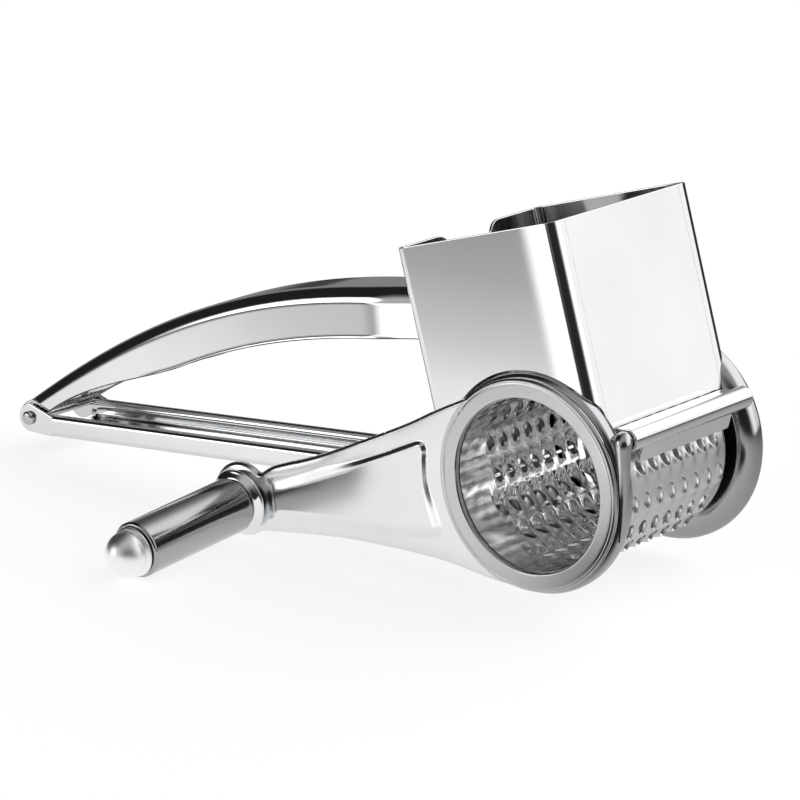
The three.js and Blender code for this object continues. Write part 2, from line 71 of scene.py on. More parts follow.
# Sizes that several pieces share: radii, values of y, places as (x, z), the knob's slope and the
# hopper's lean.
DRUM_R = 20.9
DRUM_FRONT = -28.4
DRUM_BACK = 19.0
DRUM_MIDDLE = -0.25
SKIN_R = DRUM_R - 0.02
DRUM_WALL = 0.6
CHEEK_IN = 21.8
RIM_R = 25.8
RIM_BEND, RIM_CURL, RIM_CURL_Y = 4.0, 1.8, 26.4
BAR = (23.8, 14.0)
BAR_R = 2.65
SADDLE_R = 26.0
ARM_END = (-86.4, -20.3)
KNOB_SLOPE = 0.08
PIN = (-175.5, -20.8)
LOWER_TAIL = (-171.5, -25.0)
LOWER_FRONT = (-22.0, -12.2)
HOPPER_LEAN = math.radians(16.27)


# ---- sizes and finishes -------------------------------------------------------------------


class GraterSizes(bpy.types.PropertyGroup):
    """Sizes that a maker of this grater would change."""

    sheet: bpy.props.FloatProperty(
        name="Sheet", description="Thickness of the stamped sheet", default=0.0008, unit="LENGTH"
    )
    handle_sheet: bpy.props.FloatProperty(
        name="Handle sheet", description="Thickness of both handles", default=0.0009, unit="LENGTH"
    )
    tooth_pitch: bpy.props.FloatProperty(
        name="Tooth pitch", description="Teeth spacing along the drum", default=0.00475, unit="LENGTH"
    )
    tooth_height: bpy.props.FloatProperty(
        name="Tooth height", description="How far a cutting edge stands out", default=0.0011, unit="LENGTH"
    )
    tooth_rows: bpy.props.IntProperty(
        name="Tooth rows", description="Rows of teeth round the drum", default=16, min=4
    )
    tooth_columns: bpy.props.IntProperty(
        name="Tooth columns", description="Teeth in a full row", default=8, min=2
    )
    panel_rise: bpy.props.FloatProperty(
        name="Panel rise", description="How far the crank's panel is pressed out", default=PANEL_RISE * MM,
        unit="LENGTH",
    )


class GraterFinish(bpy.types.PropertyGroup):
    """Colours and gloss of the steel."""

    polished_colour: bpy.props.StringProperty(
        name="Polished steel", description="sRGB hex of the polished sheet", default="#e9eaeb"
    )
    satin_colour: bpy.props.StringProperty(
        name="Satin steel", description="sRGB hex of the satin parts", default="#c6c7c7"
    )
    blasted_colour: bpy.props.StringProperty(
        name="Blasted steel", description="sRGB hex of the drum's outside", default="#e4e4e2"
    )
    knob_colour: bpy.props.StringProperty(
        name="Knob steel", description="sRGB hex of the knob's sleeve", default="#a6a7a8"
    )
    dome_colour: bpy.props.StringProperty(
        name="Dome steel", description="sRGB hex of the knob's domed end", default="#f4f4f3"
    )
    polished_roughness: bpy.props.FloatProperty(
        name="Polish", description="Mean roughness of the polished sheet", default=0.07, min=0, max=1
    )


class GraterStage(bpy.types.PropertyGroup):
    """Floor, light and camera."""

    camera_place: bpy.props.FloatVectorProperty(
        name="Camera", description="Camera's place from the drum's axis",
        default=(0.5148, -0.70671, 0.26683), subtype="XYZ", unit="LENGTH",
    )
    lens: bpy.props.FloatProperty(
        name="Lens", description="Focal length in millimetres", default=177.5
    )
    floor_half: bpy.props.FloatProperty(
        name="Floor", description="Half of the floor's side", default=4.0, unit="LENGTH"
    )


# ---- mesh helpers -------------------------------------------------------------------------


def arc(cx, cz, radius, start, stop, steps):
    """Points of an arc, both ends included."""
    angles = [start + (stop - start) * i / steps for i in range(steps + 1)]
    return [(cx + radius * math.cos(a), cz + radius * math.sin(a)) for a in angles]


def smooth(low, high, value):
    """Smooth step from 0 at low to 1 at high, on numbers or arrays."""
    t = np.clip((value - low) / (high - low), 0, 1)
    return t * t * (3 - 2 * t)


def soften(loop, radius, steps=3):
    """A closed loop of 2D points with its corners rounded."""
    made = []
    count = len(loop)
    for i, point in enumerate(loop):
        here = Vector(point)
        ends = []
        for other in (loop[i - 1], loop[(i + 1) % count]):
            away = Vector(other) - here
            ends.append(here + away.normalized() * min(radius, away.length * 0.45))
        for k in range(steps + 1):
            t = k / steps
            made.append(tuple(ends[0] * (1 - t) ** 2 + here * (2 * t * (1 - t)) + ends[1] * t * t))
    return made


def stack(loops, closed=False):
    """Skins rings of points, one after another; an open stack is capped at both ends."""
    count = len(loops[0])
    rings = len(loops)
    points = [p for loop in loops for p in loop]
    faces = []
    for r in range(rings if closed else rings - 1):
        a, b = r * count, (r + 1) % rings * count
        for i in range(count):
            j = (i + 1) % count
            faces.append((a + i, a + j, b + j, b + i))
    if not closed:
        last = (rings - 1) * count
        faces.append(tuple(range(count))[::-1])
        faces.append(tuple(last + i for i in range(count)))
    return points, faces


def lathe(profile, segments=96, centre=(0.0, 0.0)):
    """Turns a closed [radius, y] loop about a line along Y through centre."""
    angles = [TURN * i / segments for i in range(segments)]
    x, z = centre
    return stack(
        [[(x + r * math.cos(a), y, z + r * math.sin(a)) for a in angles] for r, y in profile], True
    )


def prism(outline, y0, y1, edge=0.15):
    """Plate with a closed x-z outline between two values of y, its edges rounded."""
    inner = inset(outline, edge)
    middle = inset(outline, edge * 0.3)
    levels = [
        (inner, y0), (middle, y0 + edge * 0.3), (outline, y0 + edge),
        (outline, y1 - edge), (middle, y1 - edge * 0.3), (inner, y1),
    ]
    return stack([[(x, y, z) for x, z in loop] for loop, y in levels])


def inset(outline, distance):
    """A closed outline moved inwards by distance."""
    points = np.array(outline, float)
    area = np.sum(points[:, 0] * np.roll(points[:, 1], -1) - np.roll(points[:, 0], -1) * points[:, 1])
    along = np.roll(points, -1, 0) - np.roll(points, 1, 0)
    normal = np.stack([-along[:, 1], along[:, 0]], 1) * math.copysign(1, area)
    normal /= np.maximum(np.linalg.norm(normal, axis=1, keepdims=True), 1e-9)
    return [tuple(p) for p in points + normal * distance]


def joined(*shapes):
    """Several (points, faces) shapes as one."""
    points, faces = [], []
    for shape_points, shape_faces in shapes:
        start = len(points)
        points += list(shape_points)
        faces += [tuple(start + i for i in face) for face in shape_faces]
    return points, faces


def moved(shape, change):
    """The shape with change applied to each of its points."""
    points, faces = shape
    return [change(p) for p in points], faces


def leaned(point):
    """A point of the upright hopper, turned to the hopper's lean."""
    x, y, z = point
    c, s = math.cos(HOPPER_LEAN), math.sin(HOPPER_LEAN)
    return c * x - s * z, y, s * x + c * z


def on_knob(point):
    """A point of a knob drawn about the Y axis from its root, outwards along +Y."""
    x, s, z = point
    tilt = math.atan(KNOB_SLOPE)
    c, t = math.cos(tilt), math.sin(tilt)
    return ARM_END[0] + 0.8 + x, CRANK_FACE - c * s + t * z, ARM_END[1] - t * s - c * z


def cleaned(mesh):
    """The mesh with doubles merged and its faces turned outwards."""
    bm = bmesh.new()
    bm.from_mesh(mesh)
    bmesh.ops.remove_doubles(bm, verts=bm.verts, dist=0.002 * MM)
    bmesh.ops.dissolve_degenerate(bm, edges=bm.edges, dist=0.001 * MM)
    bmesh.ops.recalc_face_normals(bm, faces=bm.faces)
    bm.to_mesh(mesh)
    bm.free()
    return mesh


def mesh_of(name, shape):
    """A clean mesh in row metres of a shape in millimetres about the drum's axis."""
    points, faces = shape
    mesh = bpy.data.meshes.new(name)
    mesh.from_pydata([AXIS + Vector(p) * MM for p in points], [], faces)
    return cleaned(mesh)


def settled(obj):
    """The object with its modifiers applied as a plain mesh."""
    bpy.context.view_layer.update()
    graph = bpy.context.evaluated_depsgraph_get()
    final = bpy.data.meshes.new_from_object(obj.evaluated_get(graph), depsgraph=graph)
    obj.modifiers.clear()
    old = obj.data
    obj.data = final
    final.name = obj.name
    if old.users == 0:
        bpy.data.meshes.remove(old)
    return obj


def add_object(name, mesh, *materials):
    """A new object for the mesh, in the scene, with its materials."""
    obj = bpy.data.objects.new(name, mesh)
    bpy.context.scene.collection.objects.link(obj)
    for material in materials:
        mesh.materials.append(material)
    return obj


def weight_normals(obj, sharp=35.0):
    """Smooth shading whose flats stay flat, with hard edges above the angle."""
    obj.data.shade_smooth()
    obj.data.set_sharp_from_angle(angle=math.radians(sharp))
    modifier = obj.modifiers.new("flats", "WEIGHTED_NORMAL")
    modifier.keep_sharp = True
    modifier.weight = 100
    return obj


def finish_piece(obj, body, slot, *nodes):
    """Rides the piece on its body and hides the CAD nodes that it stands for; slot is not used."""
    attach(obj, body)
    if nodes:
        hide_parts(*nodes)
    return obj


def make_piece(name, shape, material, body, slot, nodes=(), sharp=35.0, bevel=0.0):
    """Shape to finished piece; bevel, in millimetres, rounds its hard edges."""
    obj = add_object(name, mesh_of(name, shape), material)
    if bevel:
        modifier = obj.modifiers.new("edges", "BEVEL")
        modifier.width = bevel * MM
        modifier.segments = 2
        modifier.limit_method = "ANGLE"
        modifier.angle_limit = math.radians(40)
    settled(obj)
    settled(weight_normals(obj, sharp))
    return finish_piece(obj, body, slot, *nodes)


# ---- node helpers and materials -----------------------------------------------------------


def colour(hex_text):
    """sRGB hex to a linear colour."""
    parts = [int(hex_text[i:i + 2], 16) / 255 for i in (1, 3, 5)]
    return [c / 12.92 if c <= 0.04045 else ((c + 0.055) / 1.055) ** 2.4 for c in parts] + [1.0]


def node(tree, kind, inputs=(), **settings):
    """Adds one node with its settings, and fills or links its inputs."""
    made = tree.nodes.new(kind)
    for field, value in settings.items():
        setattr(made, field, value)
    for key, value in dict(inputs).items():
        if isinstance(value, bpy.types.NodeSocket):
            tree.links.new(value, made.inputs[key])
        else:
            made.inputs[key].default_value = value
    return made


# Depths of the bumps at full strength, in metres.
WAVE_DEPTH, GRAIN_DEPTH, MARK_DEPTH = 0.00022, 0.00003, 0.00002


def steel(name, hex_text, low, high, wave=0.0, grain=0.0, grain_mm=0.4, stretch=(1, 1, 1), marks=0.0):
    """A metal whose roughness runs from low to high in soft patches.

    wave is the bump of the slow buckling of pressed sheet, grain that of a fine texture of
    grain_mm, stretched along an axis for brushing, and marks that of scattered hairline marks.
    """
    found = bpy.data.materials.get(name)
    if found:
        return found
    material = bpy.data.materials.new(name)
    material.use_nodes = True
    tree = material.node_tree
    tree.nodes.clear()
    place = node(tree, "ShaderNodeTexCoord").outputs["Object"]
    patches = node(tree, "ShaderNodeTexNoise", {"Vector": place, "Scale": 45.0, "Detail": 3.0})
    spread = node(tree, "ShaderNodeMapRange", {
        "Value": patches.outputs["Fac"], "From Min": 0.35, "From Max": 0.7, "To Min": low, "To Max": high,
    })
    tint = node(tree, "ShaderNodeMapRange", {
        "Value": patches.outputs["Fac"], "From Min": 0.3, "From Max": 0.75, "To Min": 1.0, "To Max": 0.94,
    })
    shade = node(tree, "ShaderNodeVectorMath", {0: colour(hex_text)[:3], "Scale": tint.outputs[0]},
                 operation="SCALE")
    slow = node(tree, "ShaderNodeTexNoise", {"Vector": place, "Scale": 38.0, "Detail": 0.0})
    turned = node(tree, "ShaderNodeMapping", {"Vector": place, "Scale": stretch})
    fine = node(tree, "ShaderNodeTexNoise", {
        "Vector": turned.outputs[0], "Scale": 1 / (grain_mm * MM), "Detail": 2.0,
    })
    hair = node(tree, "ShaderNodeTexVoronoi", {
        "Vector": node(tree, "ShaderNodeMapping", {
            "Vector": place, "Rotation": (0.5, 0.9, 0.3), "Scale": (1.0, 14.0, 1.0),
        }).outputs[0], "Scale": 55.0,
    }, feature="DISTANCE_TO_EDGE")
    line = node(tree, "ShaderNodeMapRange", {
        "Value": hair.outputs["Distance"], "From Min": 0.0, "From Max": 0.02, "To Min": 0.0, "To Max": 1.0,
    })
    normal = None
    bumps = (
        (wave, slow.outputs["Fac"], WAVE_DEPTH),
        (grain, fine.outputs["Fac"], GRAIN_DEPTH),
        (marks, line.outputs[0], MARK_DEPTH),
    )
    for amount, height, depth in bumps:
        if amount:
            wired = {"Strength": amount, "Distance": depth, "Height": height}
            if normal:
                wired["Normal"] = normal
            normal = node(tree, "ShaderNodeBump", wired).outputs[0]
    surface = {
        "Base Color": shade.outputs[0],
        "Metallic": 1.0,
        "Roughness": spread.outputs[0],
    }
    if normal:
        surface["Normal"] = normal
    shader = node(tree, "ShaderNodeBsdfPrincipled", surface)
    node(tree, "ShaderNodeOutputMaterial", {"Surface": shader.outputs[0]})
    return material


def polished_sheet():
    """Stamped 18/10 stainless steel, buffed: mirror-like, with the slight buckle of pressed sheet."""
    finish = bpy.context.scene.grater_finish
    rough = finish.polished_roughness
    return steel("Stainless_steel_buffed", finish.polished_colour, rough * 0.7, rough * 1.5,
                 wave=0.12, grain=0.02, marks=0.05)


def rolled_cheek():
    """Stainless sheet rolled to a rim and left as it came off the rollers: a duller, darker mirror."""
    return steel("Stainless_steel_rolled", "#bcbdbf", 0.12, 0.2, wave=0.1, grain=0.06, marks=0.05)


def pressed_arm():
    """Stainless sheet pressed and barrel-polished: bright, with its reflections softly blurred."""
    finish = bpy.context.scene.grater_finish
    return steel("Stainless_steel_barrel_polished", finish.polished_colour, 0.16, 0.24, wave=0.2,
                 grain=0.08, grain_mm=0.3)


def satin_rim():
    """Stainless steel brushed round: a soft sheen that blurs what it reflects."""
    finish = bpy.context.scene.grater_finish
    return steel("Stainless_steel_satin_brushed", finish.satin_colour, 0.2, 0.3, grain=0.25, grain_mm=0.25)


def blasted_drum():
    """Stainless steel blasted with fine grit: pale and sandy, with a soft broad highlight.

    The grain is drawn coarser than fine grit leaves it, so that it shows at this size.
    """
    finish = bpy.context.scene.grater_finish
    return steel("Stainless_steel_grit_blasted", finish.blasted_colour, 0.3, 0.42, grain=0.7, grain_mm=0.32)


def bore_painted_light():
    """Rolled stainless inside the drum and on its closed end, its colour lifted near white: painted light
    that brightens the dim bore.
    """
    return steel("Stainless_steel_bright_rolled", "#f6f6f6", 0.08, 0.14, wave=0.03)


def knob_tube():
    """Drawn stainless tube, polished along its length: dark, with narrow streaks of light."""
    finish = bpy.context.scene.grater_finish
    return steel("Stainless_steel_drawn_tube", finish.knob_colour, 0.1, 0.17, wave=0.03, grain=0.12,
                 grain_mm=0.3, stretch=(1, 0.06, 1))


def dome_satin():
    """Turned stainless end, tumbled: satin, so its highlight is a soft spot."""
    finish = bpy.context.scene.grater_finish
    return steel("Stainless_steel_tumbled", finish.dome_colour, 0.36, 0.44, grain=0.3, grain_mm=0.22)


# ---- hopper -------------------------------------------------------------------------------

HOPPER_FRONT, HOPPER_BACK, HOPPER_HALF, HOPPER_TOP = 20.8, -26.0, 27.0, 57.8
HOPPER_CORNER = 3.0
NOTCH_HALF, NOTCH_FLOOR, NOTCH_ROUND, NOTCH_FOOT = 7.5, 27.0, 4.0, 2.0
GUARD_HALF = 21.4
THROAT_R = 22.45
RIM_GAP = 0.3
LEAST_FOOT, BACK_FOOT = 0.4, 7.0
SWELL_START, SWELL_RATE = 11.0, 0.0105
LIP = 0.26


def wall_top(x, y):
    """Height of the hopper's wall, which drops where the slot for the press handle is."""
    if x > HOPPER_BACK + HOPPER_CORNER or abs(y) > NOTCH_HALF + NOTCH_ROUND:
        return HOPPER_TOP
    out = abs(y) - NOTCH_HALF
    if out > 0.01:
        away = NOTCH_ROUND - out
        return HOPPER_TOP - NOTCH_ROUND + math.sqrt(max(0, NOTCH_ROUND ** 2 - away ** 2))
    away = max(0, abs(y) - (NOTCH_HALF - NOTCH_FOOT))
    return NOTCH_FLOOR + NOTCH_FOOT - math.sqrt(max(0, NOTCH_FOOT ** 2 - away ** 2))


def wall_foot(x, y):
    """Lowest height of the hopper's wall, where it clears the drum or a cheek's rim."""
    out = abs(y)
    bend = math.sqrt(max(0, RIM_BEND ** 2 - max(0, CHEEK_IN + RIM_BEND - out) ** 2))
    radius = RIM_R - RIM_BEND + bend + RIM_GAP if out > GUARD_HALF else 0
    least = BACK_FOOT if out > GUARD_HALF and x < 0 else LEAST_FOOT
    return max(least, math.sqrt(max(0, max(radius, THROAT_R) ** 2 - x ** 2)))


def swell(x):
    """How far a side wall bows inwards on its way to the front corner."""
    return SWELL_RATE * max(0.0, x - SWELL_START) ** 2


def hopper_plan():
    """Perimeter as (x, y, outward x, outward y), one row per column of points."""
    rows = []

    def straight(x0, y0, x1, y1, nx, ny, marks):
        """Adds a straight side, with a close column at each end and at each mark."""
        length = math.hypot(x1 - x0, y1 - y0)
        spots = sorted(set([0.02, 0.3, 0.9, length - 0.9, length - 0.3, length - 0.02] + marks))
        for s in spots:
            t = s / length
            rows.append((x0 + (x1 - x0) * t, y0 + (y1 - y0) * t, nx, ny))

    def corner(cx, cy, start):
        """Adds a quarter turn about its centre."""
        for i in range(9):
            a = start + math.pi / 2 * i / 8
            rows.append((cx + HOPPER_CORNER * math.cos(a), cy + HOPPER_CORNER * math.sin(a),
                         math.cos(a), math.sin(a)))

    x0, x1, h, r = HOPPER_BACK, HOPPER_FRONT, HOPPER_HALF, HOPPER_CORNER
    run = x1 - x0 - 2 * r
    across = 2 * (h - r)
    guard = [h - r - GUARD_HALF - 0.01, h - r - GUARD_HALF + 0.01]
    guard += [across - g for g in guard]
    clear = [h - r - GUARD_HALF - step for step in (0.45, 0.8, 1.3, 1.9)]
    clear += [across - c for c in clear]
    slot = [h - r + side * y for side in (-1, 1) for y in
            [NOTCH_HALF + NOTCH_ROUND * (1 - math.cos(a)) for a in np.linspace(0.02, math.pi / 2, 8)]
            + [NOTCH_HALF - 0.001, NOTCH_HALF - NOTCH_FOOT]
            + [NOTCH_HALF - NOTCH_FOOT + NOTCH_FOOT * math.sin(a) for a in (0.4, 0.8, 1.2)]]
    slot += [h - r - NOTCH_HALF - 0.02, h - r + NOTCH_HALF + 0.02, h - r]
    straight(x1, r - h, x1, h - r, 1, 0, clear)
    corner(x1 - r, h - r, 0)
    straight(x1 - r, h, x0 + r, h, 0, 1, list(np.linspace(1.6, run - 1.6, 36)))
    corner(x0 + r, h - r, math.pi / 2)
    straight(x0, h - r, x0, r - h, -1, 0, guard + slot)
    corner(x0 + r, r - h, math.pi)
    straight(x0 + r, -h, x1 - r, -h, 0, -1, list(np.linspace(1.6, run - 1.6, 36)))
    corner(x1 - r, r - h, 1.5 * math.pi)
    drawn_in = swell(x1 - r)
    made = []
    for x, y, nx, ny in rows:
        if x > SWELL_START and abs(y) > h - r:
            y = math.copysign(abs(y) - swell(min(x, x1 - r)), y)
        elif x > SWELL_START:
            y *= (h - r - drawn_in) / (h - r) if abs(y) > GUARD_HALF + 0.5 else 1.0
        made.append((x, y, nx, ny))
    return made


def hopper_shape():
    """Closed ring of wall sections, each with rounded lips."""
    sheet = bpy.context.scene.grater_sizes.sheet / MM
    outline = [(0, LIP), (0, -LIP), (-0.3 * LIP, -0.3 * LIP), (-LIP, 0), (LIP - sheet, 0),
               (0.3 * LIP - sheet, -0.3 * LIP), (-sheet, -LIP), (-sheet, LIP), (LIP - sheet, 0), (-LIP, 0)]
    columns = []
    for x, y, nx, ny in hopper_plan():
        top = wall_top(x, y)
        column = []
        for i, (out, rise) in enumerate(outline):
            px, py = x + nx * out, y + ny * out
            foot = wall_foot(px, y if abs(nx) > 0.9 else py)
            high = 1 <= i <= 6
            column.append(leaned((px, py, top + rise if high else foot + rise)))
        columns.append(column)
    return stack(columns, True)


def web_shape():
    """Strip between the front wall and the bar, with a dark gap left along the wall."""
    sheet = bpy.context.scene.grater_sizes.sheet / MM
    wall_x, _, wall_z = leaned((HOPPER_FRONT, 0, 10))
    z = wall_z - 1.0
    half = CHEEK_IN - 0.8
    x0, x1 = wall_x + 1.3, BAR[0] - BAR_R - 0.3
    return prism(soften([(x0, z), (x1, z), (x1, z + sheet), (x0, z + sheet)], 0.25), -half, half, 0.12)


class GRATER_OT_hopper(bpy.types.Operator):
    """Build the leaning hopper with its slotted back wall"""

    bl_idname = "grater.hopper"
    bl_label = "Hopper"

    def execute(self, context):
        make_piece("hopper_shell", hopper_shape(), polished_sheet(), "frame", "polished_steel", ["hopper"])
        make_piece("throat_web_strip", web_shape(), polished_sheet(), "frame", "polished_steel",
                   ["throat_web"])
        return {"FINISHED"}


# ---- cheeks, bar and guard ----------------------------------------------------------------

MOUTH_R = 22.4
BAR_NEAR, BAR_FAR = -24.2, 21.4


def rim_profile(start):
    """Half section of a rolled rim as [radius, distance outwards]."""
    sheet = bpy.context.scene.grater_sizes.sheet / MM
    bend_r, curl_r = RIM_R - RIM_BEND, RIM_R - RIM_CURL
    bend_y = CHEEK_IN + RIM_BEND
    first = math.asin(max(0, start - bend_r) / RIM_BEND) - math.pi / 2
    curl = math.radians(75)
    lead = [(start, CHEEK_IN)] if start < bend_r else []
    tail = [(start, CHEEK_IN + sheet)] if start < bend_r else []
    reach = RIM_CURL - sheet / 2
    middle = (curl_r + reach * math.cos(curl), RIM_CURL_Y + reach * math.sin(curl))
    tip = arc(*middle, sheet / 2, curl, curl + math.pi, 4)
    return (
        lead
        + arc(bend_r, bend_y, RIM_BEND, first, 0, 12)
        + arc(curl_r, RIM_CURL_Y, RIM_CURL, 0, curl, 8)
        + tip[1:-1]
        + arc(curl_r, RIM_CURL_Y, RIM_CURL - sheet, curl, 0, 8)
        + arc(bend_r, bend_y, RIM_BEND - sheet, 0, first, 12)
        + tail
    )


def tube(path, radii, segments=28):
    """Round bar along a path, with its own radius at each point and closed ends."""
    points = [Vector(p) for p in path]
    count = len(points)
    side = Vector((0, 0, 1)).cross(points[1] - points[0]).normalized()
    loops = []
    for i, point in enumerate(points):
        along = (points[min(i + 1, count - 1)] - points[max(i - 1, 0)]).normalized()
        side = (side - along * side.dot(along)).normalized()
        other = along.cross(side)
        loops.append([tuple(point + (side * math.cos(a) + other * math.sin(a)) * radii[i])
                      for a in [TURN * k / segments for k in range(segments)]])
    return stack(loops)


def smooth_path(points, steps):
    """Catmull-Rom curve through 3D points, the same number of steps in each span."""
    given = [Vector(p) for p in points]
    given = [given[0] * 2 - given[1], *given, given[-1] * 2 - given[-2]]
    made = []
    for i in range(1, len(given) - 2):
        a, b, c, d = given[i - 1:i + 3]
        for k in range(steps):
            t = k / steps
            made.append((b * 2 + (c - a) * t + (a * 2 - b * 5 + c * 4 - d) * t * t
                         + (b * 3 - a - c * 3 + d) * t ** 3) * 0.5)
    return made + [given[-2]]


# Centre line of the cheek's hooked lobe: up along the rim, then over into the bar's open end.
HOOK = ((24.2, -27.1, -9.0), (24.6, -27.2, -4.0), (24.8, -27.15, 2.0), (24.8, -26.9, 7.0),
        (24.5, -26.65, 11.0), (24.2, -26.35, 13.6), (23.8, -25.6, 14.3), (23.8, -24.6, 14.0),
        (23.8, -23.2, 14.0))
HOOK_RADII = (0.25, 0.8, 1.25, 1.5, 1.75, 2.05, 2.15, 1.75, 1.5)


def hook_shape():
    """Lobe of changing thickness along the hook's centre line."""
    path = smooth_path(HOOK, 8)
    radii = list(np.interp(np.arange(len(path)) / 8, range(len(HOOK_RADII)), HOOK_RADII))
    return tube(path, radii)


def cheek_shape(side, hole):
    """One rolled cheek; the crank's side has the hooked lobe that plugs the bar."""
    rim = lathe([(r, side * y) for r, y in rim_profile(hole)], 192)
    return joined(rim, hook_shape()) if side < 0 else rim


def bar_shape():
    """Tube between the cheeks, with the scraper lip folded down below it."""
    sheet = bpy.context.scene.grater_sizes.sheet / MM
    tube_wall = soften([(BAR_R - sheet, BAR_NEAR), (BAR_R, BAR_NEAR), (BAR_R, BAR_FAR),
                        (BAR_R - sheet, BAR_FAR)], 0.2)
    low = Vector((22.3, 7.0))
    high = Vector((BAR[0] - 0.2, BAR[1] - BAR_R + 0.35))
    across = Vector((high.y - low.y, low.x - high.x)).normalized() * sheet
    section = soften([tuple(p) for p in (low, high, high - across, low - across)], 0.22, 3)
    return joined(lathe(tube_wall, 64, BAR), prism(section, -17.5, 17.5, 0.12))


def curved_sheet(radius, sheet, start, stop, half, steps=36, edge=0.18):
    """Sheet bent about the drum's axis, as a rounded prism."""
    outline = arc(0, 0, radius, start, stop, steps) + arc(0, 0, radius - sheet, stop, start, steps)
    return prism(outline, -half, half, edge)


class GRATER_OT_cheeks(bpy.types.Operator):
    """Build both rolled cheeks, the front bar with its lip and the guard behind the drum"""

    bl_idname = "grater.cheeks"
    bl_label = "Cheeks, bar and guard"

    def execute(self, context):
        steel_sheet = polished_sheet()
        sheet = context.scene.grater_sizes.sheet / MM
        for name, side, hole in (("crank_side", -1, MOUTH_R), ("far_side", 1, 3.0)):
            make_piece(f"cheek_{name}_rolled", cheek_shape(side, hole), rolled_cheek(), "frame",
                       "polished_steel", [f"cheek_{name}"], 40)
        make_piece("front_bar_tube", bar_shape(), steel_sheet, "frame", "polished_steel", ["front_bar"])
        start = math.pi + HOPPER_LEAN + 0.01
        make_piece("rear_guard", curved_sheet(SADDLE_R, sheet, start, start + 0.95, CHEEK_IN - 0.4),
                   steel_sheet, "frame", "polished_steel", ["rear_saddle"])
        middle = math.pi + 0.5
        make_piece("handle_foot_plate",
                   curved_sheet(SADDLE_R + 1.3, 1.0, middle - 0.19, middle + 0.36, 10.8, 16),
                   steel_sheet, "frame", "polished_steel", ["handle_foot"])
        return {"FINISHED"}


# ---- grating drum -------------------------------------------------------------------------

# Points round a cell, then its hole: half its width along the drum in millimetres, and half its
# height and the height of its middle as angles about the drum's axis.
TILE_EDGE = 16
HOLE_HALF, HOLE_UP, HOLE_MIDDLE = 1.35, 1.8 / DRUM_R, -0.9 / DRUM_R


def tooth_tile():
    """One curved cell of the drum with a tooth: an oval hole whose lower edge is scooped outwards."""
    sizes = bpy.context.scene.grater_sizes
    pitch = sizes.tooth_pitch / MM
    rise = sizes.tooth_height / MM
    row = TURN / sizes.tooth_rows
    border = []
    for side in range(4):
        for k in range(TILE_EDGE // 4):
            t = k * 8 / TILE_EDGE - 1
            border.append([(1, t), (-t, 1), (-1, -t), (t, -1)][side])
    rings = []
    for blend in (0.0, 0.4, 0.7, 0.88, 1.0):
        ring = []
        for bu, bv in border:
            angle = math.atan2(bu, bv)
            hole_u = HOLE_MIDDLE + math.sin(angle) * HOLE_UP
            hole_v = math.cos(angle) * HOLE_HALF
            ring.append((bu * row / 2 * (1 - blend) + hole_u * blend,
                         bv * pitch / 2 * (1 - blend) + hole_v * blend))
        rings.append(ring)

    def height(ring, u, v):
        """The scoop stands out below the hole and the hole's upper edge dips in."""
        if not ring:
            return 0.0
        lip = HOLE_MIDDLE + HOLE_UP
        width = max(0.0, 1 - (v / (pitch * 0.4)) ** 2)
        out = float(smooth(HOLE_MIDDLE - 0.3 * HOLE_UP, lip, u)) * float(smooth(row * 0.46, lip, u))
        top = HOLE_MIDDLE - HOLE_UP
        dip = float(smooth(HOLE_MIDDLE, top, u)) * float(smooth(-row * 0.42, top, u))
        return rise * width ** 0.7 * out - 0.25 * width * dip

    outer = [[(u, v, SKIN_R + height(r, u, v)) for u, v in ring] for r, ring in enumerate(rings)]
    inner = [[(u, v, h - DRUM_WALL) for u, v, h in ring] for ring in outer]
    points, faces = [], []
    for group, flip in ((outer, False), (inner, True)):
        start = len(points)
        points += [p for ring in group for p in ring]
        for r in range(len(rings) - 1):
            a = start + r * TILE_EDGE
            for i in range(TILE_EDGE):
                j = (i + 1) % TILE_EDGE
                face = (a + i, a + j, a + TILE_EDGE + j, a + TILE_EDGE + i)
                faces.append(face[::-1] if flip else face)
    edge = (len(rings) - 1) * TILE_EDGE
    for i in range(TILE_EDGE):
        j = (i + 1) % TILE_EDGE
        faces.append((edge + i, edge + j, len(points) - TILE_EDGE + j, len(points) - TILE_EDGE + i))
    return [(r * math.sin(u), v, r * math.cos(u)) for u, v, r in points], faces


def new_tree(name, inputs, output):
    """A geometry tree with named inputs and one output, and its input sockets."""
    tree = bpy.data.node_groups.new(name, "GeometryNodeTree")
    for label, kind in inputs:
        tree.interface.new_socket(label, in_out="INPUT", socket_type="NodeSocket" + kind)
    tree.interface.new_socket(output, in_out="OUTPUT", socket_type="NodeSocketGeometry")
    return tree, node(tree, "NodeGroupInput").outputs


def close_tree(tree, copies, material):
    """Ends a tree by making its copies real and giving them the material."""
    real = node(tree, "GeometryNodeRealizeInstances", {0: copies.outputs[0]})
    coated = node(tree, "GeometryNodeSetMaterial", {"Geometry": real.outputs[0], "Material": material})
    node(tree, "NodeGroupOutput", {0: coated.outputs[0]})
    return tree


def run_nodes(obj, tree, values):
    """Adds the tree to the object, sets its named inputs and applies it."""
    modifier = obj.modifiers.new("repeat", "NODES")
    modifier.node_group = tree
    sockets = {s.name: s.identifier for s in tree.interface.items_tree if s.in_out == "INPUT"}
    for name, value in values.items():
        modifier[sockets[name]] = value
    return settled(obj)


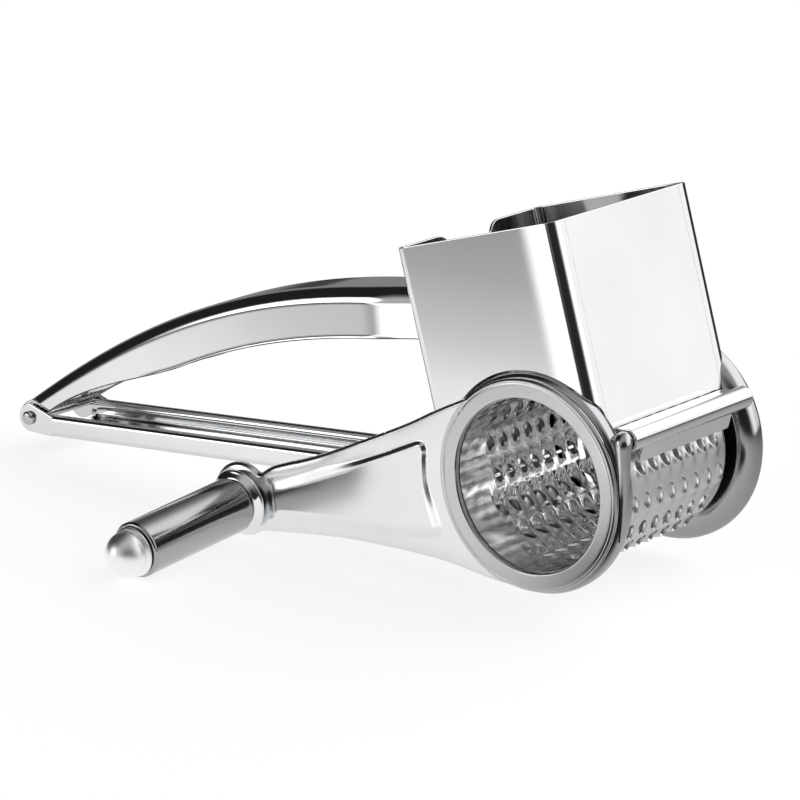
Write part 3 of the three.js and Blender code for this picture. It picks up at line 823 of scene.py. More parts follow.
# Sums on a tooth's index, as (result, operation, first, second). Every other row is half a pitch
# along and one tooth short.
TOOTH_SUMS = (
    ("total", "MULTIPLY", "Rows", "Columns"),
    ("shifted", "ADD", "index", 0.5),
    ("turns", "DIVIDE", "shifted", "Columns"),
    ("row", "FLOOR", "turns", 0.0),
    ("before", "MULTIPLY", "row", "Columns"),
    ("column", "SUBTRACT", "index", "before"),
    ("odd", "MODULO", "row", 2.0),
    ("gaps", "SUBTRACT", "Columns", 1.0),
    ("middle", "MULTIPLY", "gaps", 0.5),
    ("from_middle", "SUBTRACT", "column", "middle"),
    ("stagger", "MULTIPLY", "odd", 0.5),
    ("steps", "ADD", "from_middle", "stagger"),
    ("along", "MULTIPLY", "steps", "Pitch"),
    ("nearly_last", "SUBTRACT", "Columns", 1.5),
    ("last", "GREATER_THAN", "column", "nearly_last"),
    ("dropped", "MULTIPLY", "odd", "last"),
    ("kept", "SUBTRACT", 1.0, "dropped"),
    ("half_row", "ADD", "row", 0.5),
    ("swept", "MULTIPLY", "half_row", TURN),
    ("angle", "DIVIDE", "swept", "Rows"),
)


def drum_tree():
    """Node tree that repeats the tooth cell round and along the drum."""
    tree, given = new_tree("Drum teeth", (
        ("Tooth", "Geometry"), ("Rows", "Int"), ("Columns", "Int"), ("Pitch", "Float"),
        ("Material", "Material"),
    ), "Drum")
    sums = {name: given[name] for name in ("Rows", "Columns", "Pitch")}
    sums["index"] = node(tree, "GeometryNodeInputIndex").outputs[0]
    for name, operation, a, b in TOOTH_SUMS:
        sums[name] = node(tree, "ShaderNodeMath", {0: sums.get(a, a), 1: sums.get(b, b)},
                          operation=operation).outputs[0]
    place = node(tree, "ShaderNodeCombineXYZ", {"Y": sums["along"]})
    points = node(tree, "GeometryNodePoints", {"Count": sums["total"], "Position": place.outputs[0]})
    turn = node(tree, "ShaderNodeCombineXYZ", {"Y": sums["angle"]})
    turned = node(tree, "FunctionNodeEulerToRotation", {0: turn.outputs[0]})
    copies = node(tree, "GeometryNodeInstanceOnPoints", {
        "Points": points.outputs[0], "Selection": sums["kept"], "Instance": given["Tooth"],
        "Rotation": turned.outputs[0],
    })
    return close_tree(tree, copies, given["Material"])


def blank_cells():
    """Plain half cells that fill the ends of the staggered rows, and the plain band at the front end."""
    sizes = bpy.context.scene.grater_sizes
    pitch, rows, columns = sizes.tooth_pitch / MM, sizes.tooth_rows, sizes.tooth_columns
    row = TURN / rows
    half = columns * pitch / 2
    shift = DRUM_MIDDLE
    points, faces = [], []

    def patch(a0, y0, y1, steps_y):
        """Adds a plain piece of wall one cell wide, with its outer and inner skins."""
        for radius, flip in ((SKIN_R, False), (SKIN_R - DRUM_WALL, True)):
            start = len(points)
            for i in range(5):
                for k in range(steps_y + 1):
                    a = a0 + row * i / 4
                    y = y0 + (y1 - y0) * k / steps_y
                    points.append((radius * math.sin(a), y, radius * math.cos(a)))
            for i in range(4):
                for k in range(steps_y):
                    a = start + i * (steps_y + 1) + k
                    face = (a, a + steps_y + 1, a + steps_y + 2, a + 1)
                    faces.append(face if flip else face[::-1])

    for r in range(rows):
        a0 = row * r
        if r % 2:
            patch(a0, shift - half, shift - half + pitch / 2, 2)
            patch(a0, shift + half - pitch / 2, shift + half, 2)
        patch(a0, DRUM_FRONT, shift - half, 3)
    return points, faces


def make_drum():
    """The toothed tube: blasted outside, polished inside, the inside lightened with painted light."""
    sizes = bpy.context.scene.grater_sizes
    tile = bpy.data.meshes.new("tooth")
    points, faces = tooth_tile()
    tile.from_pydata([Vector(p) * MM for p in points], [], faces)
    obj = add_object("drum_toothed_tube", tile, blasted_drum())
    run_nodes(obj, drum_tree(), {
        "Rows": sizes.tooth_rows, "Columns": sizes.tooth_columns, "Pitch": sizes.tooth_pitch,
        "Material": blasted_drum(),
    })
    obj.data.transform(Matrix.Translation(AXIS + Vector((0, DRUM_MIDDLE * MM, 0))))
    bm = bmesh.new()
    bm.from_mesh(obj.data)
    points, faces = blank_cells()
    verts = [bm.verts.new(AXIS + Vector(p) * MM) for p in points]
    for face in faces:
        bm.faces.new([verts[i] for i in face])
    bmesh.ops.remove_doubles(bm, verts=bm.verts, dist=0.01 * MM)
    rims = [e for e in bm.edges if e.is_boundary]
    for y in (DRUM_FRONT, DRUM_MIDDLE + sizes.tooth_columns * sizes.tooth_pitch / MM / 2):
        near = [e for e in rims if abs((e.verts[0].co.y - AXIS.y) / MM - y) < 0.05]
        if near:
            bmesh.ops.bridge_loops(bm, edges=near)
    bmesh.ops.recalc_face_normals(bm, faces=bm.faces)
    # Faces that look into the bore take the second material, steel whose light colour is painted light.
    for f in bm.faces:
        centre = f.calc_center_median() - AXIS
        radial = Vector((centre.x, 0, centre.z)).normalized()
        f.material_index = 1 if f.normal.dot(radial) < -0.35 else 0
        f.smooth = True
    obj.data.materials.clear()
    obj.data.materials.append(blasted_drum())
    obj.data.materials.append(bore_painted_light())
    bm.to_mesh(obj.data)
    bm.free()
    obj.data.set_sharp_from_angle(angle=math.radians(50))
    finish_piece(obj, "crank", "satin_steel", "grating_drum")


class GRATER_OT_drum(bpy.types.Operator):
    """Build the toothed drum with its collar, closed end, spindle and nut"""

    bl_idname = "grater.drum"
    bl_label = "Grating drum"

    def execute(self, context):
        make_drum()
        collar = [(DRUM_R + 0.1, DRUM_FRONT), (22.05, DRUM_FRONT), (22.05, -21.2), (DRUM_R + 0.1, -21.2)]
        make_piece("drum_front_collar", lathe(soften(collar, 0.25), 160), polished_sheet(), "crank",
                   "polished_steel", ["drum_collar"])
        y = DRUM_BACK
        cap = [(2.55, y - 0.7), (6, y - 0.7), (7.5, y - 0.9), (DRUM_R - 0.9, y - 0.9),
               (DRUM_R - 0.3, y - 1.0), (DRUM_R, y - 0.9)]
        cap += arc(DRUM_R - 0.5, y - 0.5, 0.5, 0, math.pi / 2, 5) + [(2.55, y)]
        # The closed end takes the bore steel, whose light colour is painted light.
        make_piece("drum_closed_end", lathe(cap, 160), bore_painted_light(), "crank", "satin_steel",
                   ["drum_end_cap"])
        head = DRUM_BACK - 1.2
        spindle = [(0, head - 2.4), (3.6, head - 2.3), (4.2, head - 2.0), (4.6, head - 1.4), (4.6, head),
                   (2.5, head), (2.5, 25.8), (2.3, 26), (0, 26)]
        make_piece("spindle_turned", lathe(spindle, 48), satin_rim(), "crank", "satin_steel",
                   ["drum_spindle"], 30)
        nut = [(2.6, 25), (4.4, 25), (4.4, 26.3), (4.1, 27.0), (3.2, 27.7), (1.8, 28.05), (0, 28.1),
               (0, 26.3), (2.6, 26.3)]
        make_piece("spindle_cap_nut", lathe(nut, 48), satin_rim(), "crank", "satin_steel",
                   ["spindle_nut"], 30)
        ring = [(2.56, 22.9), (5.6, 22.9), (5.6, 24.0), (5.2, 24.5), (2.56, 24.5)]
        make_piece("spindle_bearing", lathe(soften(ring, 0.25), 64), satin_rim(), "frame",
                   "satin_steel", ["bearing_ring"])
        return {"FINISHED"}


# ---- crank --------------------------------------------------------------------------------

RING_IN, RING_OUT = 20.4, 24.9
CRANK_BACK = -28.7
EDGE_R = 1.0


def spline(points, steps):
    """Smooth open curve through 2D points."""
    made = []
    ends = [np.array(p, float) for p in points]
    ends = [2 * ends[0] - ends[1], *ends, 2 * ends[-1] - ends[-2]]
    for i in range(1, len(ends) - 2):
        a, b, c, d = ends[i - 1:i + 3]
        count = max(2, int(np.linalg.norm(c - b) / steps))
        for k in range(count):
            t = k / count
            made.append(tuple(0.5 * (2 * b + (c - a) * t + (2 * a - 5 * b + 4 * c - d) * t * t
                                     + (3 * b - a - 3 * c + d) * t ** 3)))
    return made + [tuple(ends[-2])]


def arm_outline():
    """Outline of ring and arm together, about 0.8 mm between points."""
    neck = spline([(-17.6, 17.6), (-27.4, 12.6), (-35.8, 7.9), (-47, 2.4), (-58.7, -3.1), (-66, -6.2),
                   (-72.3, -8.5), (-77, -10.4), (-80.6, -12.9)], 0.8)
    under = spline([(-80.4, -27.2), (-72.2, -26), (-62.5, -24.7), (-52.6, -23.7), (-42, -23.2),
                    (-31.7, -23.0), (-23.2, -23.2), (-16.2, -23.8), (-10.3, -24.3), (-4.0, -24.58)], 0.8)
    start = math.atan2(-12.9 - ARM_END[1], -80.6 - ARM_END[0])
    stop = math.atan2(-27.2 - ARM_END[1], -80.4 - ARM_END[0]) + TURN
    end = arc(*ARM_END, 9.1, start, stop, 48)[1:-1]
    low, high = math.atan2(-24.58, -4.0), math.atan2(17.6, -17.6)
    ring = arc(0, 0, RING_OUT, low, high, 120)[1:-1]
    return neck + end + under + ring


def panel_outline():
    """Outline of the pressed panel, its corners rounded."""
    corners = [(-76.0, -15.6), (-66, -11.6), (-52, -5.4), (-40, 0.1), (-30.6, 4.6)]
    right = arc(0, 0, 29.6, math.pi - 0.11, math.pi + 0.56, 6)
    bottom = [(-37, -17.9), (-52, -18.9), (-66, -20.4), (-75.0, -21.4)]
    return soften(corners + right + bottom, 1.4, 3)


def distance(points, loop, closed=True):
    """Distance of each point from a polyline."""
    a = np.array(loop, float)
    b = np.roll(a, -1, 0)
    if not closed:
        a, b = a[:-1], b[:-1]
    along = b - a
    length = np.maximum((along ** 2).sum(1), 1e-12)
    best = np.full(len(points), 1e9)
    for i in range(len(a)):
        t = np.clip(((points - a[i]) @ along[i]) / length[i], 0, 1)
        best = np.minimum(best, np.hypot(*(points - a[i] - t[:, None] * along[i]).T))
    return best


def inside(points, loop):
    """True for each point inside a closed loop."""
    x, z = points[:, 0], points[:, 1]
    hit = np.zeros(len(points), bool)
    for i, (x0, z0) in enumerate(loop):
        x1, z1 = loop[i - 1]
        cross = (z0 > z) != (z1 > z)
        with np.errstate(divide="ignore", invalid="ignore"):
            at = (x1 - x0) * (z - z0) / (z1 - z0) + x0
        hit ^= cross & (x < at)
    return hit


SHOULDER, SHOULDER_DROP = 4.0, 0.2


def arm_relief(points, outline, panel, rise):
    """Height of the pressed face above its flat, in millimetres."""
    edge = distance(points, outline)
    radius = np.hypot(*points.T)
    away = np.clip(EDGE_R - edge, 0, EDGE_R)
    height = np.sqrt(np.maximum(EDGE_R ** 2 - away ** 2, 0)) - EDGE_R
    near = np.clip(0.5 - (radius - RING_IN), 0, 0.5)
    height += np.sqrt(np.maximum(0.25 - near ** 2, 0)) - 0.5
    arm = smooth(25.5, 34.0, radius)
    low = 1 + 2.5 * smooth(-4.0, -14.0, points[:, 1] + 0.25 * (points[:, 0] + 30))
    height -= arm * low * SHOULDER_DROP * np.clip(1 - edge / SHOULDER, 0, 1) ** 2
    height -= 0.12 * np.exp(-((radius - 24.0) / 0.22) ** 2)
    depth = distance(points, panel) * np.where(inside(points, panel), 1.0, -1.0)
    soft = smooth(-1.0, -9.0, points[:, 1] + 0.12 * (points[:, 0] + 55))
    width = 0.9 + 1.4 * soft
    return height + rise * smooth(-width, width * 0.6, depth)


def arm_points(outline, panel):
    """Points for the arm's face, close together where the relief bends."""
    hole = arc(0, 0, RING_IN, 0, TURN, 180)[:-1]
    spots = []
    for d in (0.08, 0.2, 0.38, 0.6, 0.8, 1.0, 1.3, 1.9, 2.6, 3.4, 4.2, 5.0):
        spots += inset(outline, d)
    for r in (20.45, 20.55, 20.7, 20.9, 21.1, 22.0, 23.2, 23.6, 23.8, 23.9, 24.0, 24.1, 24.2, 24.4):
        spots += arc(0, 0, r, 0, TURN, 180)[:-1]
    for d in (-2.3, -1.8, -1.3, -0.9, -0.65, -0.4, -0.15, 0.1, 0.3, 0.5, 0.9, 1.4):
        spots += inset(panel, d)
    xs = np.arange(-94, -24, 1.8)
    zs = np.arange(-28, 18, 1.8)
    spots += [(x + (0.9 if k % 2 else 0.0), z) for k, z in enumerate(zs) for x in xs]
    return hole, np.array(spots)


def resample(loop, step):
    """Closed loop with points about step apart."""
    made = []
    for i, p in enumerate(loop):
        q = loop[(i + 1) % len(loop)]
        count = max(1, round(math.dist(p, q) / step))
        made += [(p[0] + (q[0] - p[0]) * k / count, p[1] + (q[1] - p[1]) * k / count) for k in range(count)]
    return made


def make_arm():
    """Stamped arm and ring: a triangulated face with relief, a flat back and an edge between."""
    outline = arm_outline()
    panel = resample(panel_outline(), 0.8)
    rise = bpy.context.scene.grater_sizes.panel_rise / MM
    hole, spots = arm_points(outline, panel)
    radius = np.hypot(*spots.T)
    good = inside(spots, outline) & (distance(spots, outline) > 0.05) & (radius > RING_IN + 0.08)
    spots = spots[good]
    rims = outline + hole
    count, ring = len(outline), len(hole)
    edges = [(i, (i + 1) % count) for i in range(count)]
    edges += [(count + i, count + (i + 1) % ring) for i in range(ring)]
    seam = arc(0, 0, RING_OUT, math.radians(136), math.radians(260), 90)
    start = len(rims)
    edges += [(start + i, start + i + 1) for i in range(len(seam) - 1)]
    cloud = [Vector(p) for p in rims + seam] + [Vector(p) for p in spots]
    flat, _, faces, _, _, _ = delaunay_2d_cdt(cloud, edges, [], 0, 1e-5)
    flat = np.array([tuple(p) for p in flat])
    middles = np.array([flat[list(f)].mean(0) for f in faces])
    keep = inside(middles, outline) & (np.hypot(*middles.T) > RING_IN - 0.02)
    faces = [tuple(f) for f, k in zip(faces, keep) if k]

    def relief(points):
        """Height of the face over the points."""
        return arm_relief(points, outline, panel, rise)

    h = relief(flat)
    step = 0.04
    slope_x = (relief(flat + [step, 0]) - relief(flat - [step, 0])) / (2 * step)
    slope_z = (relief(flat + [0, step]) - relief(flat - [0, step])) / (2 * step)
    total = len(flat)
    used = {}
    for f in faces:
        for i in range(len(f)):
            a, b = f[i], f[(i + 1) % len(f)]
            used[(a, b)] = used.get((a, b), 0) + 1
    border = [e for e in used if (e[1], e[0]) not in used]
    back = -0.3 * smooth(0.2, 1.6, distance(flat, panel) * np.where(inside(flat, panel), 1.0, -1.0))
    points = [(x, CRANK_FACE - hh, z) for (x, z), hh in zip(flat, h)]
    points += [(x, CRANK_BACK + b, z) for (x, z), b in zip(flat, back)]
    shell = faces + [tuple(i + total for i in f[::-1]) for f in faces]
    shell += [(a + total, b + total, b, a)[::-1] for a, b in border]
    mesh = bpy.data.meshes.new("crank_arm_stamped")
    mesh.from_pydata([AXIS + Vector(p) * MM for p in points], [], shell)
    bm = bmesh.new()
    bm.from_mesh(mesh)
    bmesh.ops.recalc_face_normals(bm, faces=bm.faces)
    for f in bm.faces:
        centre = (f.calc_center_median() - AXIS) / MM
        f.smooth = True
        on_ring = math.hypot(centre.x, centre.z) < RING_OUT - 0.02
        f.material_index = int(on_ring and centre.y < CRANK_BACK - 0.2)
    bm.to_mesh(mesh)
    bm.free()
    obj = add_object("crank_arm_stamped", mesh, pressed_arm(), satin_rim())
    mesh.set_sharp_from_angle(angle=math.radians(60))
    front = np.stack([-slope_x, -np.ones(total), -slope_z], 1)
    front /= np.linalg.norm(front, axis=1, keepdims=True)
    normals = []
    for polygon in mesh.polygons:
        on_face = all(i < total for i in polygon.vertices)
        for i in polygon.vertices:
            normals.append(tuple(front[i]) if on_face else (0.0, 0.0, 0.0))
    mesh.normals_split_custom_set(normals)
    finish_piece(obj, "crank", "polished_steel", "crank_arm")


class GRATER_OT_crank(bpy.types.Operator):
    """Build the stamped crank arm with its ring and pressed-out panel"""

    bl_idname = "grater.crank"
    bl_label = "Crank arm"

    def execute(self, context):
        make_arm()
        return {"FINISHED"}


class GRATER_OT_knob(bpy.types.Operator):
    """Build the knob: pressed collar, axle with its domed end, and the free sleeve"""

    bl_idname = "grater.knob"
    bl_label = "Knob"

    def execute(self, context):
        collar = ([(2.8, 0.3), (6.6, 0.3), (7.5, 0.95)] + arc(7.5, 1.5, 0.55, -1.2, 1.2, 6)
                  + [(7.2, 2.3), (6.7, 2.75), (6.2, 3.1), (5.4, 3.2), (2.8, 3.2)])
        make_piece("knob_pressed_collar", moved(lathe(collar, 96), on_knob), polished_sheet(), "crank",
                   "polished_steel", ["knob_collar"], 50)
        end = 38.5
        dome = arc(0, end + 1.9, 5.47, 0.05, math.pi / 2, 18)
        axle = ([(0, -2.6), (3.4, -2.55), (4, -2.3), (4, -1.8), (2.6, -1.8), (2.6, end), (5.6, end),
                 (6.0, end + 0.25), (6.05, end + 0.55), (5.85, end + 0.85), (5.45, end + 1.05),
                 (5.2, end + 1.3), (5.35, end + 1.65)] + dome)
        make_piece("knob_domed_axle", moved(lathe(axle, 96), on_knob), dome_satin(), "crank",
                   "satin_steel", ["knob_axle"], 60)
        sleeve = [(2.66, 3.6), (6.2, 3.6), (6.55, 3.75), (6.75, 4.1), (6.8, 4.6), (6.8, 37.3),
                  (6.75, 37.75), (6.5, 38.1), (6.1, 38.2), (2.66, 38.2)]
        make_piece("knob_tube_sleeve", moved(lathe(sleeve, 128), on_knob), knob_tube(), "knob",
                   "knob_steel", ["knob_sleeve"], 50)
        return {"FINISHED"}


# ---- handles ------------------------------------------------------------------------------

UPPER_HALF, NECK_HALF = 9.3, 6.3
UPPER_DEPTH, TAIL_DEPTH, FLARE = 12.2, 6.2, 0.35
LOWER_HALF, LOWER_DEPTH, LOWER_CORNER, BEAD_R = 10.8, 5.7, 1.6, 1.5


def folded(outer_edge, inner_edge, half, sheet, corner, steps):
    """Closed U section as [y, height]: crown at 0, both free edges as given for the +Y one."""
    right = outer_edge + arc(half - corner, -corner, corner, 0, math.pi / 2, steps)
    back = arc(half - corner, -corner, corner - sheet, math.pi / 2, 0, steps) + inner_edge
    left, front = ([(-y, h) for y, h in reversed(half_loop)] for half_loop in (right, back))
    return right + left + front + back


def beaded_channel(half, depth, sheet, corner, bead):
    """U section whose free edges end in a rolled bead that stands inwards."""
    roll = arc(half - bead, bead - depth, bead, -0.75 * TURN, 0, 16)
    outside = [p for p in roll if p[0] < half - sheet or p[1] < bead - depth + 1e-6]
    return folded(outside, [(half - sheet, 2 * bead - depth + 0.1)], half, sheet, corner, 8)


def channel(half, depth, sheet, corner, steps, flare):
    """U section whose free edges, at -depth, have rounded lips and flare outwards."""
    e = sheet * 0.35
    outside = [(half + flare - e, -depth), (half + flare, e - depth), (half + flare * 0.4, 1.2 - depth)]
    inside_edge = [(half - sheet + flare * 0.4, 1.2 - depth), (half - sheet + flare, e - depth),
                   (half - sheet + flare + e, -depth)]
    return folded(outside, inside_edge, half, sheet, corner, steps)


def sweep(stations):
    """Skins [y, height] sections set on (x, z) stations with their normals."""
    return stack([[(x + nx * h, y, z + nz * h) for y, h in section] for x, z, nx, nz, section in stations])


def crown_path(count=150):
    """Smooth arch of the upper handle as (x, z, normal x, normal z)."""
    given = np.array([(-179.6, -17.8), (-151.2, 0.9), (-122, 15.7), (-94.3, 25.4), (-67.7, 30.9), (-40, 34),
                      (-4, 35.8)])
    fit = np.polyfit((given[:, 0] + 90) / 90, given[:, 1], 5)
    slope = np.polyder(fit)
    xs = np.linspace(given[0, 0], given[-1, 0], count)
    made = []
    for x in xs:
        t = (x + 90) / 90
        dz = np.polyval(slope, t) / 90
        length = math.hypot(1, dz)
        made.append((x, float(np.polyval(fit, t)), -dz / length, 1 / length))
    return made


def united(name, *shapes):
    """One closed mesh object out of shapes that run into each other."""
    body = add_object(name, mesh_of(name, shapes[0]))
    for shape in shapes[1:]:
        tool = add_object("tool", mesh_of("tool", shape))
        union = body.modifiers.new("union", "BOOLEAN")
        union.operation = "UNION"
        union.object = tool
        settled(body)
        bpy.data.objects.remove(tool)
    return body


def plain_piece(obj, material, body, slot, nodes, sharp=35.0):
    """Gives an object that was cut or joined its material, normals and body."""
    obj.data.materials.clear()
    obj.data.materials.append(material)
    settled(weight_normals(obj, sharp))
    return finish_piece(obj, body, slot, *nodes)


class GRATER_OT_upper_handle(bpy.types.Operator):
    """Build the arched press handle"""

    bl_idname = "grater.upper_handle"
    bl_label = "Press handle"

    def execute(self, context):
        sheet = context.scene.grater_sizes.handle_sheet / MM
        stations = []
        for x, z, nx, nz in crown_path():
            neck = float(smooth(-66, -46, x))
            tail = float(smooth(-172, -128, x))
            half = UPPER_HALF + (NECK_HALF - UPPER_HALF) * neck
            depth = TAIL_DEPTH + (UPPER_DEPTH - TAIL_DEPTH) * tail
            flare = FLARE * float(smooth(-150, -135, x)) * (1 - neck)
            stations.append((x, z, nx, nz, channel(half, depth, sheet, 4.0, 10, flare)))
        arch = sweep(stations)
        inner = UPPER_HALF - sheet
        knuckle = soften([(0, inner), (4.3, inner), (4.3, UPPER_HALF), (0, UPPER_HALF)], 0.2)
        knuckles = [lathe([(r, side * y) for r, y in knuckle], 56, PIN) for side in (1, -1)]
        obj = united("press_handle_arch", arch, *knuckles)
        plain_piece(obj, polished_sheet(), "press_handle", "polished_steel", ["upper_handle"])
        return {"FINISHED"}


class GRATER_OT_lower_handle(bpy.types.Operator):
    """Build the lower handle with its ears round the hinge pin"""

    bl_idname = "grater.lower_handle"
    bl_label = "Lower handle"

    def execute(self, context):
        sheet = context.scene.grater_sizes.handle_sheet / MM
        tail, front = Vector(LOWER_TAIL), Vector(LOWER_FRONT)
        along = (front - tail).normalized()
        down = (along.y, -along.x)
        section = beaded_channel(LOWER_HALF, LOWER_DEPTH, sheet, LOWER_CORNER, BEAD_R)
        stations = []
        for i in range(61):
            at = tail.lerp(front, i / 60)
            stations.append((at.x, at.y, *down, section))
        channel_shape = sweep(stations)
        inner = LOWER_HALF - sheet
        ear = arc(*PIN, 3.8, math.pi / 2, 1.5 * math.pi, 24)
        ear += [(tail.x + 4, tail.y + 0.5), (tail.x + 4, tail.y + LOWER_DEPTH)]
        ears = [prism(ear, *sorted((side * inner, side * LOWER_HALF)), 0.42) for side in (1, -1)]
        obj = united("lower_handle_channel", channel_shape, *ears)
        tool = add_object("tool", mesh_of("tool", lathe([(0, -14), (27.6, -14), (27.6, 14), (0, 14)], 192)))
        cut = obj.modifiers.new("foot", "BOOLEAN")
        cut.operation = "DIFFERENCE"
        cut.object = tool
        settled(obj)
        bpy.data.objects.remove(tool)
        plain_piece(obj, polished_sheet(), "frame", "polished_steel", ["lower_handle"])
        pin = lathe(soften([(0, -11.2), (1.5, -11.2), (1.5, 11.2), (0, 11.2)], 0.1), 40, PIN)
        make_piece("hinge_pin_turned", pin, satin_rim(), "frame", "satin_steel", ["hinge_pin"])
        return {"FINISHED"}


# ---- presser and rivets -------------------------------------------------------------------

TRAY_HALF, TRAY_BACK, TRAY_FRONT, TRAY_FLOOR, TRAY_RISE = 20.8, -21.4, 17.0, 22.8, 5.0
STEM_TOP = 31.6


def tray_loop(gap, corner, z):
    """Rounded rectangle of the tray, gap inside its outside."""
    x0, x1, half = TRAY_BACK + gap, TRAY_FRONT - gap, TRAY_HALF - gap
    c = max(0.3, corner - gap)
    loop = []
    for quarter, (x, y) in enumerate(((x1 - c, half - c), (x0 + c, half - c), (x0 + c, c - half),
                                      (x1 - c, c - half))):
        loop += arc(x, y, c, quarter * TURN / 4, (quarter + 1) * TURN / 4, 8)
    return [leaned((x, y, z)) for x, y in loop]


def tray_shape():
    """Shallow pressed pan, its floor rounded up into the walls."""
    sheet = bpy.context.scene.grater_sizes.sheet / MM
    low, high = TRAY_FLOOR, TRAY_FLOOR + TRAY_RISE
    bend = 1.5
    levels = [(12.0, low)] + [(bend * (1 - math.sin(a)), low + bend * (1 - math.cos(a)))
                              for a in np.linspace(0, math.pi / 2, 6)]
    levels += [(0, high - 0.2), (0.08, high - 0.06), (0.25, high)]
    levels += [(sheet - 0.25, high), (sheet - 0.08, high - 0.06), (sheet, high - 0.2)]
    tight = bend - sheet
    levels += [(sheet + tight * (1 - math.cos(a)), low + sheet + tight * (1 - math.sin(a)))
               for a in np.linspace(0, math.pi / 2, 5)]
    levels.append((12.0, low + sheet))
    return stack([tray_loop(gap, 3.0, z) for gap, z in levels])


def stem_shape():
    """Saddle-shaped stem: a foot on the tray and two legs up inside the handle."""
    half = NECK_HALF - 0.9 - 0.3
    low = TRAY_FLOOR + 0.8 + 0.3
    section = [(half, low), (half, STEM_TOP), (half - 1.2, STEM_TOP), (half - 1.2, low + 1.2),
               (1.2 - half, low + 1.2), (1.2 - half, STEM_TOP), (-half, STEM_TOP), (-half, low)]
    section = soften(section, 0.35, 3)
    levels = [(-7, 0.12), (-6.88, 0.0), (4.88, 0.0), (5, 0.12)]
    return stack([[leaned((x, y, z)) for y, z in inset(section, gap)] for x, gap in levels])


def rivet_tree():
    """Node tree that sets a head on each point, along the point's own direction."""
    tree = bpy.data.node_groups.get("Rivet heads")
    if tree:
        return tree
    tree, given = new_tree("Rivet heads", (
        ("Seats", "Geometry"), ("Head", "Object"), ("Size", "Float"), ("Material", "Material"),
    ), "Rivets")
    head = node(tree, "GeometryNodeObjectInfo", {"Object": given["Head"]})
    way = node(tree, "GeometryNodeInputNamedAttribute", {"Name": "way"}, data_type="FLOAT_VECTOR")
    turned = node(tree, "FunctionNodeAlignRotationToVector", {"Vector": way.outputs[0]}, axis="Z")
    copies = node(tree, "GeometryNodeInstanceOnPoints", {
        "Points": given["Seats"], "Instance": head.outputs["Geometry"], "Rotation": turned.outputs[0],
        "Scale": given["Size"],
    })
    return close_tree(tree, copies, given["Material"])


def rivet_head():
    """Low domed head about 1 mm in radius, standing on its seat along +Z."""
    profile = [(0, 0), (1, 0), (1.0, 0.12), (0.93, 0.28), (0.72, 0.42), (0.4, 0.5), (0, 0.52)]
    points, faces = lathe(profile, 24)
    mesh = bpy.data.meshes.new("head")
    mesh.from_pydata([Vector((x, z, y)) * MM for x, y, z in points], [], faces)
    return add_object("head", cleaned(mesh))


def make_rivets(name, seats, size, body, nodes):
    """Heads of one size on one body; a seat is (point, direction)."""
    mesh = bpy.data.meshes.new(name)
    mesh.from_pydata([AXIS + Vector(p) * MM for p, _ in seats], [], [])
    ways = mesh.attributes.new("way", "FLOAT_VECTOR", "POINT")
    for i, (_, way) in enumerate(seats):
        ways.data[i].vector = Vector(way).normalized()
    obj = add_object(name, mesh)
    head = rivet_head()
    run_nodes(obj, rivet_tree(), {"Head": head, "Size": size, "Material": satin_rim()})
    bpy.data.objects.remove(head)
    obj.data.materials.clear()
    obj.data.materials.append(satin_rim())
    settled(weight_normals(obj, 50))
    return finish_piece(obj, body, "satin_steel", *nodes)


class GRATER_OT_presser(bpy.types.Operator):
    """Build the presser tray and its stem"""

    bl_idname = "grater.presser"
    bl_label = "Presser"

    def execute(self, context):
        make_piece("presser_pan", tray_shape(), polished_sheet(), "press_handle", "polished_steel",
                   ["presser_tray"])
        make_piece("presser_saddle", stem_shape(), polished_sheet(), "press_handle", "polished_steel",
                   ["presser_stem"])
        return {"FINISHED"}


class GRATER_OT_rivets(bpy.types.Operator):
    """Build every rivet head and both heads of the hinge pin"""

    bl_idname = "grater.rivets"
    bl_label = "Rivets"

    def execute(self, context):
        angle = math.radians(180 + 43)
        way = (math.cos(angle), 0, math.sin(angle))
        seat = SADDLE_R + 1.32
        foot = [((seat * way[0], y, seat * way[2]), way) for y in (-6.5, 6.5)]
        make_rivets("foot_rivet_heads", foot, 2.0, "frame",
                    ["foot_rivet_crank_side", "foot_rivet_far_side"])
        pins = [((PIN[0], side * 11.25, PIN[1]), (0, side, 0)) for side in (-1, 1)]
        make_rivets("pin_rivet_heads", pins, 1.8, "frame", ["pin_head_crank_side", "pin_head_far_side"])
        x, _, z = leaned((-1, 0, STEM_TOP - 2.8))
        stem = [((x, side * 6.35, z), (0, side, 0)) for side in (-1, 1)]
        tray = [(leaned((-1, 0, TRAY_FLOOR + 2.4)), leaned((0, 0, 1)))]
        make_rivets("presser_rivet_heads", stem + tray, 1.7, "press_handle",
                    ["stem_rivet_crank_side", "stem_rivet_far_side", "tray_rivet"])
        return {"FINISHED"}


# ---- stage --------------------------------------------------------------------------------

# Soft panels and dark flags of the studio, as (direction, inner and outer half angle in degrees,
# brightness), each laid over the ones before it and over the base.
STUDIO_BASE = 0.6
STUDIO = (
    ((-0.86, -0.05, 0.5), 34, 60, 0.02),
    ((0.72, -0.68, 0.06), 24, 50, 0.03),
    ((0.58, 0.75, 0.34), 32, 58, 2.0),
    ((-0.67, 0.745, 0.08), 12, 30, 0.3),
    ((-0.62, -0.745, 0.2), 10, 19, 2.6),
    ((0.2, 0.97, 0.02), 12, 24, 0.03),
    ((0.661, 0.744, 0.09), 8, 17, 1.42),
)


